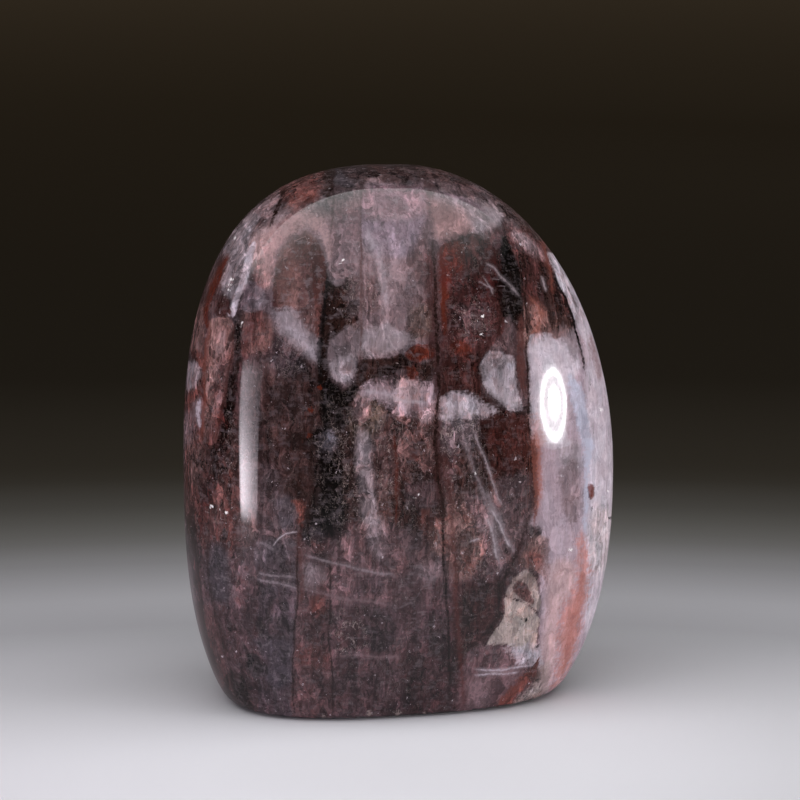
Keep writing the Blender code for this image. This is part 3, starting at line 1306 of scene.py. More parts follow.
LEFT_FINGER = (
    # partly the pale edge of the finger and partly a painted reflection of the overhead softbox, in the band
    # under the mirrored arch
    Vein("pale halo of the finger", Tint.BLUSH, ((-23.4, 76, 1.4), (-22.6, 80.5, 1.9), (-20.4, 84, 2.6),
        (-16.6, 87, 3), (-13, 85, 2.2), (-11.9, 81.4, 0.9), (-11.7, 78, 0.3)), 0.6, 0.6),
    Patch("finger lobe", Tint.BROWN, ((-21.8, 70.4), (-21.7, 74), (-21.4, 78), (-20.4, 81), (-18.6, 83),
        (-17.2, 84), (-16, 84.6), (-14.6, 83.9), (-13.4, 82.4), (-12.6, 80.2), (-12.2, 77.6), (-12.2, 75),
        (-12.5, 72), (-13, 68), (-13.4, 65), (-16, 67), (-19, 69.6)), 0.12),
    Patch("pale left of the finger", Tint.CLAY, ((-21, 71), (-21.2, 78), (-19.4, 82), (-17.6, 83),
        (-17, 78), (-17.4, 71)), 0.5, 0.7, Layer.INSET),
    Patch("dark right of the finger", Tint.BRICK, ((-17.2, 80.4), (-17, 82.6), (-15.9, 84), (-14.4, 83.3),
        (-13.2, 81.6), (-12.5, 79), (-12.4, 75.5), (-13, 70.6), (-13.4, 66), (-14.2, 66), (-14.5, 72),
        (-14.9, 78), (-15.4, 80), (-16.4, 80)), 0.12, 0.8, Layer.INSET),
    Patch("dark band right of the finger", Tint.UMBER, ((-12.4, 76.8), (-11.2, 75.4), (-9.8, 75.6),
        (-8.6, 73.4), (-8.6, 70.6), (-8, 69), (-6.6, 69.2), (-6.6, 68.4), (-8.4, 67.4), (-9.8, 66.2),
        (-11.2, 65.2), (-11.8, 63), (-12, 60.4), (-11.9, 57.4), (-12.9, 56), (-13.8, 57.6), (-13.9, 61),
        (-13.5, 65), (-13.1, 69.4), (-12.8, 73.6)), 0.15, 1.0),
    Vein("black line along the finger", Tint.BLACK, ((-12.3, 77, 0.3), (-12.4, 73, 1), (-12.8, 68, 1.3),
        (-13.4, 63, 1), (-13.4, 58, 0.8), (-13, 54, 0.4)), 0.2, 0.9),
    Wash("brown right of the band", Tint.SHADOW, ((-9.8, 75.4), (-6.2, 76.4), (-5.9, 73), (-6, 67.2),
        (-8.5, 67.4), (-10, 72)), 0.7, 0.75, SPARKLY),
    Wash("pink grey left of the finger", Tint.ROSE, ((-25, 83.5), (-22.2, 83), (-21.3, 79), (-22, 74.5),
        (-25, 75), (-26, 79)), 0.7, 0.5, GRAINY),
    Patch("grey glinting patch", Tint.FROST, ((-27.4, 74.8), (-26, 75.4), (-24.4, 74.8), (-23.4, 73.4),
        (-22.8, 71.6), (-24, 70.4), (-26, 70.2), (-27.4, 70.6), (-27.8, 72.4)), 0.3, 0.9),
    Wash("brown below the glinting patch", Tint.CLAY, ((-27.4, 70), (-23, 69.8), (-21.9, 66.5),
        (-22.4, 63.4), (-25, 62.4), (-27.6, 62.4), (-27.6, 66.5)), 0.5, 0.7, BODY),
    Patch("diagonal white cloud", Tint.FROST, ((-21.8, 69.8), (-20, 71), (-18, 70.4), (-16.2, 68),
        (-14.6, 65.6), (-13.8, 63), (-14.1, 60.6), (-15.2, 61.2), (-17, 63.2), (-18.8, 65.2),
        (-20.8, 67.6)), 0.7, 0.75, Layer.INSET),
    Vein("bright lip of the cloud", Tint.PEARL, ((-19.8, 67.8, 0.6), (-18, 66.4, 1.4), (-16.2, 64.6, 1.7),
        (-14.8, 62.6, 1.4), (-14.2, 60.9, 0.5)), 0.6, 0.5),
    Wash("slate below the cloud", Tint.INK, ((-21.8, 65.5), (-20, 65), (-18, 62.8), (-15.6, 60),
        (-16, 57.6), (-20, 58.4), (-22.3, 61)), 0.8, 0.85, SPARKLY),
    Wash("dark brown under the finger", Tint.SHADOW, ((-24, 60), (-21, 58.6), (-14, 59), (-13.8, 48),
        (-17, 46), (-24, 47)), 1.5, 0.85, BODY),
    Wash("black band under the finger", Tint.UMBER, ((-13.8, 60), (-11.8, 59), (-11.4, 55), (-12.6, 50),
        (-14.2, 52)), 0.8, 0.8),
)

CENTRE_TONGUE = (
    Patch("grey blue tongue", Tint.VEIL, ((-11.4, 91.6), (-8, 92.4), (-6.1, 92.4), (-6.1, 79), (-7, 77.2),
        (-9.4, 76), (-11.4, 76.2), (-11.6, 79)), 0.15, 0.9),
    Patch("blue of the tongue", Tint.SLATE, ((-11.2, 90), (-8, 91.5), (-7.6, 84), (-8.6, 78), (-11, 78)),
        0.7, 0.4, Layer.INSET),
    Vein("dark line along the tongue", Tint.SHADOW, ((-10.8, 97, 0.5), (-11, 92, 0.5), (-11.3, 88, 0.5),
        (-11.6, 82, 0.3)), 0.15, 0.8),
    Vein("line right of the tongue", Tint.BROWN, ((-5.9, 95, 0.4), (-6, 84, 0.4), (-5.9, 74, 0.5),
        (-6, 66, 0.5), (-6.2, 60, 0.4)), 0.2, 0.8),
    Wash("lilac centre", Tint.VEIL, ((-5.6, 92), (0, 92.7), (5.6, 92.2), (6.2, 84), (6.4, 72), (6, 65),
        (0, 64), (-5.6, 66)), 0.4, 0.9, CLOUDY),
    # lilac quartz with a painted reflection: the violet cast of the overhead softbox that the polish mirrors
    Wash("violet top of the centre", Tint.VIOLET, ((-5.6, 92), (0, 92.7), (5.6, 92.2), (4.8, 84), (2, 80),
        (-5.6, 82)), 0.8, 0.8),
    Wash("brown left of the main vein", Tint.GARNET, ((5.4, 79), (7, 80), (7.6, 62), (6, 63), (5.6, 70)),
        0.6, 0.8),
    # partly pale quartz and partly a painted reflection of the overhead softbox under the arch's edge
    Wash("pale crown of the centre", Tint.ROSE, ((-5.6, 91.6), (0, 92.4), (6, 91.6), (6, 88), (0, 86.6),
        (-5, 87)), 0.9, 0.4),
    Vein("pale lilac veil", Tint.PEARL, ((-5, 85.5, 0.6), (-3.8, 82, 1.6), (-2.6, 79, 1.4), (-1.8, 75, 1.2),
        (-1.4, 71, 0.9)), 0.8, 0.35),
    Wash("brown mist at the centre left", Tint.BROWN, ((-5.6, 76), (-2.4, 76), (-3, 71), (-5.6, 70)), 1.0,
        0.6, LACED),
    Wash("brown mist at the right", Tint.BROWN, ((2.6, 80), (5.6, 83), (6.4, 74), (6.2, 66), (3, 66.4),
        (3.8, 74)), 1.1, 0.45, BODY),
    Wash("gold mist", Tint.OLIVE, ((2.8, 70.4), (6.6, 71), (6.6, 66), (3.4, 65.6)), 0.8, 0.45, GRAINY),
    Patch("white foot of the centre", Tint.MILK, ((-5.7, 66.6), (-3.6, 67.6), (-1.6, 67.8), (0.4, 67.2),
        (2, 66.4), (3.4, 64.8), (1.4, 63.2), (-1, 62.6), (-3, 62), (-5.8, 62.2)), 0.5, 0.75),
    Patch("blue white patch", Tint.HAZE, ((-11.9, 60), (-11.6, 63), (-11, 64.8), (-9.4, 65.8), (-8, 66.2),
        (-6.8, 66.4), (-6.2, 65), (-6.3, 62), (-6.7, 59), (-7.5, 57.2), (-9, 56.8), (-10.5, 57.4),
        (-11.7, 58.6)), 0.45),
    Patch("black hollow", Tint.BLACK, ((-12.2, 57.8), (-10.6, 56.9), (-9, 56.3), (-7.4, 57), (-6.5, 58.6),
        (-6.3, 56.6), (-6.8, 54.6), (-8.2, 53.4), (-8.4, 51), (-9.2, 49), (-11.6, 48.2), (-13.2, 51),
        (-13.4, 54)), 0.25, 1.0),
    Patch("white of the blue patch", Tint.MILK, ((-11.5, 61.3), (-9, 62.6), (-6.9, 61.8), (-7, 58.6),
        (-9, 57.2), (-11.2, 58.2)), 0.3, 0.85, Layer.INSET),
    Patch("dark red cleft", Tint.UMBER, ((-6.4, 61.1), (-4.5, 61.6), (-2, 61.8), (0.3, 62.1), (1.6, 62.2),
        (3, 61), (5, 60.8), (7.4, 61.2), (7.4, 58), (5.4, 57.4), (4.4, 58.2), (3, 59.4), (0.8, 59.4),
        (-0.6, 58.5), (-2.4, 58.2), (-4, 57.8), (-5.6, 57.2), (-6.6, 56.2), (-6.9, 58)), 0.15, 0.95),
    Patch("orange spot in the cleft", Tint.EMBER, ((2, 62), (3.2, 63.6), (5, 64.4), (7, 63.6), (7.3, 62),
        (5.4, 61.4), (3.6, 61)), 0.15, 0.95, Layer.INSET),
    Patch("lower orange spot", Tint.EMBER, ((2, 59.3), (3, 60.2), (4.2, 59.7), (4.2, 58), (2.8, 57.8)), 0.3,
        0.9, Layer.INSET),
    Patch("white band", Tint.LILAC, ((-6.2, 55.5), (-5.2, 56.8), (-3.8, 57.3), (-2, 57.6), (0, 57.1),
        (1.5, 57.2), (3.5, 57.2), (5.5, 57), (7.6, 56), (7.8, 53), (6, 52.1), (4, 51.7), (2, 51.4),
        (0.5, 51.8), (-1.5, 52.8), (-3.5, 53.6), (-5, 54.2)), 0.65, 0.8),
    Vein("streaks of the band", Tint.SNOW, ((-5.6, 55.8, 0.4), (-3.6, 55.6, 1.0), (-1, 55, 1.1),
        (1, 54.2, 0.9), (3.6, 53.8, 0.6), (6.4, 53.6, 0.3)), 0.5, 0.6),
    Patch("blush in the band", Tint.BLUSH, ((0, 57), (2, 57.6), (5, 57), (5.6, 54.6), (3, 53.6), (0, 54)),
        0.7, 0.55, Layer.INSET),
    Patch("white band right of the vein", Tint.PEARL, ((8.4, 54.6), (10.2, 55.4), (12.4, 55.8), (14, 54.6),
        (16.2, 53.6), (18, 52.4), (17.2, 51.2), (15, 50.6), (12, 50.6), (9.6, 50.2), (8.4, 51)), 0.6, 0.75),
    Wash("mist under the right band", Tint.HAZE, ((8.4, 52), (17, 51.5), (14, 47), (9, 44.6), (8.2, 47)),
        1.2, 0.75, LACED),
    Wash("olive crackle", Tint.OLIVE, ((-8.4, 52), (-6.6, 55.6), (-3, 54.2), (-1.6, 50), (-4, 47.4),
        (-7.6, 47.6)), 1.0, 0.45, LACED),
    Wash("pale top of the crackle", Tint.VEIL, ((-7.6, 54.4), (-5, 54.4), (-4.8, 50.6), (-7.2, 50.4)), 0.6,
        0.8),
    Wash("mist under the white band", Tint.BROWN, ((-2, 53), (7.2, 52), (7, 48), (0, 47)), 1.2, 0.45,
        SPARKLY),
    Wash("pale mist beside the vein", Tint.VEIL, ((2.8, 52.6), (7.2, 52.8), (7, 50.4), (3.6, 50.4)), 0.6,
        0.8),
)

MAIN_VEIN = (
    Vein("main vein in the arch", Tint.MAUVE, ((6.2, 93.5, 0.5), (6.5, 89, 0.9), (6.8, 84.5, 1.4)), 0.5,
        0.6),
    Vein("brown sides of the main vein", Tint.GARNET, ((6.9, 85, 0.5), (7.3, 78, 1.6), (7.7, 64, 1.8),
        (8, 59, 1.5), (7.9, 54, 1), (7.9, 48, 1.2), (8, 40, 1.6), (8.7, 34, 0.6)), 0.5, 0.75),
    Vein("main vein", Tint.UMBER, ((6.9, 85, 0.4), (7.3, 78, 0.6), (7.9, 61.3, 0.7), (8.3, 55.8, 0.6),
        (7.6, 50.3, 0.6), (7.6, 44.7, 0.6), (8.1, 39.2, 0.6), (8.9, 35.4, 0.5), (8.9, 28.1, 0.5),
        (9.4, 20, 0.5), (9.8, 13, 0.5), (10, 6, 0.5), (9.8, -3, 0.5)), 0.12),
    Vein("brown along the lower vein", Tint.BRICK, ((8.9, 46, 1.0), (9.6, 41, 1.4), (10.2, 36, 1.2),
        (10.6, 30, 0.9), (11, 24, 1.0), (11.4, 16, 0.8), (12, 8, 0.8), (12.4, 2, 0.7), (12.3, -2.6, 0.6)),
        0.4, 0.7),
    Vein("thin rust line", Tint.EMBER, ((0.2, 49, 0.4), (0.3, 42, 0.6), (0.4, 36, 0.5), (0.2, 31, 0.3)),
        0.25, 0.75),
)

RIGHT_LOBE = (
    Patch("plum lobe", Tint.GARNET, ((8.4, 81.6), (9.6, 82.4), (11.6, 83.2), (13, 83.7), (14.4, 84.3),
        (15.8, 83.8), (17.2, 82.8), (18.4, 81.4), (19.4, 80), (20, 76), (20, 70), (19.8, 66.4),
        (18.9, 64.8), (18, 63.8), (17, 62.8), (16, 61.6), (14, 61.4), (11, 61.6), (8.5, 62), (8.6, 68),
        (8.6, 76)), 0.12),
    Patch("ember head of the lobe", Tint.EMBER, ((8.6, 81.6), (10.4, 82.6), (12, 82.8), (12.7, 81.4),
        (12.8, 79.2), (12.2, 77.4), (10.6, 76.6), (10, 73), (9.7, 69), (9.4, 66), (8.6, 66), (8.6, 74)),
        0.25, 0.8, Layer.INSET),
    Vein("bright left edge of the lobe", Tint.EMBER, ((8.4, 81.8, 0.4), (8.5, 78, 1.3), (8.8, 74, 1.3),
        (9, 70, 0.8), (9.2, 66, 0.4)), 0.3, 0.9),
    Wash("mauve of the lobe", Tint.BROWN, ((10.6, 71.6), (13, 72.6), (17.6, 71.6), (18.2, 69), (16.8, 65.4),
        (13.4, 65.2), (11, 66.6)), 0.9, 1.0, SPARKLY),
    Patch("mauve core", Tint.MAUVE, ((10.8, 71.2), (13, 71.9), (17, 71.4), (17.8, 68.8), (16.4, 66.4),
        (13.6, 66.6), (11.4, 68)), 0.6, 0.35, Layer.INSET),
    Vein("dark right side of the lobe", Tint.UMBER, ((18.6, 81.2, 0.4), (19, 77.8, 1.0), (19.1, 73, 1.3),
        (19.3, 69, 1.0), (18.8, 65.8, 0.6)), 0.4, 0.85),
    Patch("orange at the lobe's foot", Tint.EMBER, ((10.6, 64.8), (13, 64.6), (14.2, 63.4), (13, 62.4),
        (10.8, 62.2), (9.8, 63)), 0.4, 0.75, Layer.INSET),
    Patch("black cleft", Tint.BLACK, ((19.4, 83.8), (20.6, 83), (21.6, 81), (22.8, 78), (23.3, 74.6),
        (23.5, 71), (23.4, 67), (22.4, 66.4), (21.6, 67.6), (21, 69.4), (19.8, 69), (19, 72.4), (18.8, 75),
        (19.2, 78), (19.2, 81)), 0.15, 1.0),
    Patch("dark grains under the lobe", Tint.WINE, ((8.5, 62.2), (10, 61.8), (12, 62.2), (14.2, 62.4),
        (15.9, 61.6), (15.3, 59.8), (15.8, 58.4), (16.3, 56.6), (18, 54.9), (20, 53), (21.4, 51.6),
        (21, 50.6), (19.4, 51.2), (18.2, 52.4), (15.6, 53.9), (14, 55.2), (12, 55.8), (10, 55.6),
        (8.5, 55)), 0.2, 0.95),
    Thread("star ray one", Tint.MILK, ((15.4, 75.7), (16.8, 74.7), (18, 74)), 0.25, 0.6),
    Thread("star ray two", Tint.MILK, ((16.4, 76.2), (17.1, 74.8), (17.9, 73.1)), 0.25, 0.6),
    Thread("crackle thread", Tint.MILK, ((16.3, 78.9), (18, 78), (19, 76.6), (20.6, 75.2), (21.8, 73.8),
        (22.8, 72.6)), 0.35, 0.6),
)

RIGHT_ROCK = (
    Patch("grey white rock", Tint.FROST, ((15.3, 59.8), (15.9, 61.2), (16.9, 62.4), (18, 63), (19.4, 63.4),
        (20.8, 63.6), (21.6, 62.8), (22.1, 60), (22.1, 58), (22.4, 55), (23.4, 52.4), (20.8, 52.3),
        (19, 53.7), (17.4, 55), (16.2, 56.8), (15.9, 58.4)), 0.12, 0.95, Layer.INSET),
    Patch("grey head of the rock", Tint.PLUM, ((17.6, 62.8), (18.4, 64.6), (19.8, 66.2), (21.6, 66),
        (22.5, 64.4), (22.3, 62), (20, 62.4)), 0.25, 0.8, Layer.INSET),
    Patch("white core of the rock", Tint.PEARL, ((16.6, 57.6), (18, 59.6), (19.4, 59.4), (20.4, 60.4),
        (21.9, 60.4), (21.9, 56), (22.2, 53), (20.6, 53), (18.2, 55)), 0.5, 0.65, Layer.INSET),
    Vein("bright lower edge of the rock", Tint.SNOW, ((16.2, 57.4, 0.8), (17.4, 56.4, 1.4), (19, 55.4, 1.8),
        (20.8, 54.2, 1.6), (22.6, 53, 0.8)), 0.6, 0.5),
    Vein("red brown vein by the rock", Tint.BRICK, ((22.9, 70, 0.7), (22.8, 66, 1.2), (23, 61, 1.4),
        (23.2, 57, 1.2), (23.6, 54.4, 0.5)), 0.2, 0.9),
    Vein("dark line by the vein", Tint.UMBER, ((23.3, 83, 0.3), (23.7, 77, 0.4), (23.9, 70, 0.4),
        (24, 63, 0.4), (24.2, 56, 0.4), (24.4, 50, 0.4), (24.7, 45, 0.35)), 0.12, 0.95),
    Wash("dark red under the rock", Tint.WINE, ((15.5, 50.5), (24.2, 51.5), (24.6, 46), (24, 42),
        (21.6, 40.6), (19, 41), (17, 45)), 0.6, 0.95, BODY),
    Patch("dark patch at the boundary", Tint.WINE, ((16.6, 43), (19.4, 43.8), (21, 45), (22.8, 44.8),
        (23, 42), (21, 40.6), (18.6, 39.6), (16.6, 40.2)), 0.4, 0.9, Layer.INSET),
    Wash("blue grey over the shoulder", Tint.VEIL, ((21.4, 85), (23, 84.6), (26, 81.8), (27.4, 80),
        (26.6, 79.4), (24, 81), (21.6, 83)), 0.5, 0.75, SPARKLY),
    Wash("dark specked rim", Tint.SHADOW, ((17, 92), (20, 90), (25, 86), (27, 83), (25, 83.4), (20.5, 86.8),
        (18.6, 89.6)), 0.5, 0.75, SPARKLY),
    # partly bluish quartz and partly a painted reflection of the overhead softbox, in the band under the arch
    Wash("bluish top right", Tint.MILK, ((7, 91.8), (10, 91.4), (14, 90.2), (17.4, 89.4), (19.6, 87.6),
        (19, 85.6), (16, 84.6), (14, 85.4), (12, 88), (8, 89.6)), 0.5, 0.75, CLOUDY),
    Wash("pink under the top right", Tint.ROSE, ((7, 90), (12, 89), (14.4, 85.4), (12.6, 84.2), (8.6, 82.8),
        (7, 85)), 0.7, 0.8, CALM),
)

RIGHT_SHOULDER = (
    Vein("dark stripe one", Tint.UMBER, ((24.6, 83, 0.8), (24.8, 79, 1.3), (25, 74.5, 0.9),
        (25.2, 71, 0.3)), 0.4, 0.7),
    Vein("dark stripe two", Tint.UMBER, ((25.9, 82, 0.4), (26.4, 78, 0.8), (27.2, 73.5, 0.9),
        (28.3, 69, 0.7), (28.9, 66.8, 0.3)), 0.3, 0.75),
    Vein("rust stripe", Tint.RUST, ((26.8, 83.4, 0.8), (27.4, 80.6, 0.6), (28.2, 77, 0.6), (28.6, 73, 0.5)),
        0.3, 0.8),
    Vein("orange stripe", Tint.CORAL, ((24.5, 72.6, 0.4), (25.8, 71.4, 0.9), (26.5, 69.4, 1.0),
        (25.9, 67.2, 0.8), (24.6, 65.6, 0.5)), 0.4, 0.5),
    Patch("dark inside the curved line", Tint.UMBER, ((26.6, 79.4), (28.4, 78), (29.7, 74.4), (31, 71.2),
        (32.3, 68.3), (32.9, 66.6), (31.6, 67), (30.2, 66.4), (29, 67.6), (27.6, 70.4), (26.8, 73),
        (26, 76.4)), 0.2, 0.85),
    Vein("dark curved line", Tint.BLACK, ((28.2, 78.6, 0.4), (29.5, 75.4, 0.4), (31, 72.4, 0.4),
        (32.3, 69.2, 0.5), (33.1, 66.4, 0.5), (33.7, 63.4, 0.4), (34.1, 60.8, 0.4), (34.4, 58.6, 0.3)),
        0.12),
    Patch("pale strip outside the line", Tint.PEARL, ((27.6, 80.6), (29, 80.4), (30.6, 78.8), (33, 74.8),
        (35, 69.9), (36.4, 65.6), (35.4, 64.4), (34.2, 65), (33, 68), (31.7, 70.9), (30.2, 74.1),
        (28.6, 77.8)), 0.1, 0.9),
    Vein("dark slit in the strip", Tint.SHADOW, ((31.1, 74.8, 0.3), (32.5, 72.4, 0.5), (33.4, 70.6, 0.4)),
        0.2, 0.8),
    Thread("white crack", Tint.MILK, ((26.5, 76.4), (26.9, 75), (27.4, 73.6)), 0.35, 0.8),
    Patch("milk under the shoulder", Tint.PEARL, ((24.3, 64.8), (26, 65.8), (28, 66.3), (29.2, 65),
        (30.4, 65.4), (31.4, 65), (32.4, 64.4), (33.2, 62.4), (33.6, 60.2), (33, 58.4), (31.8, 57),
        (31.3, 54), (31, 50), (31.5, 46), (25.4, 46), (24.5, 52), (24.4, 58)), 0.2, 0.8),
    Patch("shade at the top of the milk", Tint.HAZE, ((30.2, 67), (33.2, 66.6), (33.8, 62.6), (32.6, 61),
        (31.4, 63)), 0.7, 0.8, Layer.INSET),
    Patch("pink edge of the milk", Tint.SALMON, ((24.6, 51.5), (26, 51), (27.4, 46), (25, 45.6)), 0.6, 0.55,
        Layer.INSET),
    Patch("pale blue strip", Tint.SKY, ((31.4, 59), (32.8, 57.8), (34, 56.4), (34.7, 53), (35.4, 49.5),
        (35.8, 45.5), (33.9, 46.5), (33.1, 50), (32.2, 53.4), (31.5, 56)), 0.3, 0.85, Layer.INSET),
    # partly pale quartz and partly painted light that shines through the thin rim from behind
    Wash("pink right rim", Tint.PEARL, ((34.8, 66), (37, 66), (40.5, 55), (41, 46), (35.6, 46), (34.6, 56)),
        0.6, 0.75, CALM),
    Vein("rust mist at the right rim", Tint.RUST, ((35.3, 66.4, 0.7), (36, 63.4, 1.4), (36.7, 60.6, 1.2),
        (37.3, 57.6, 0.5)), 0.6, 0.6),
)

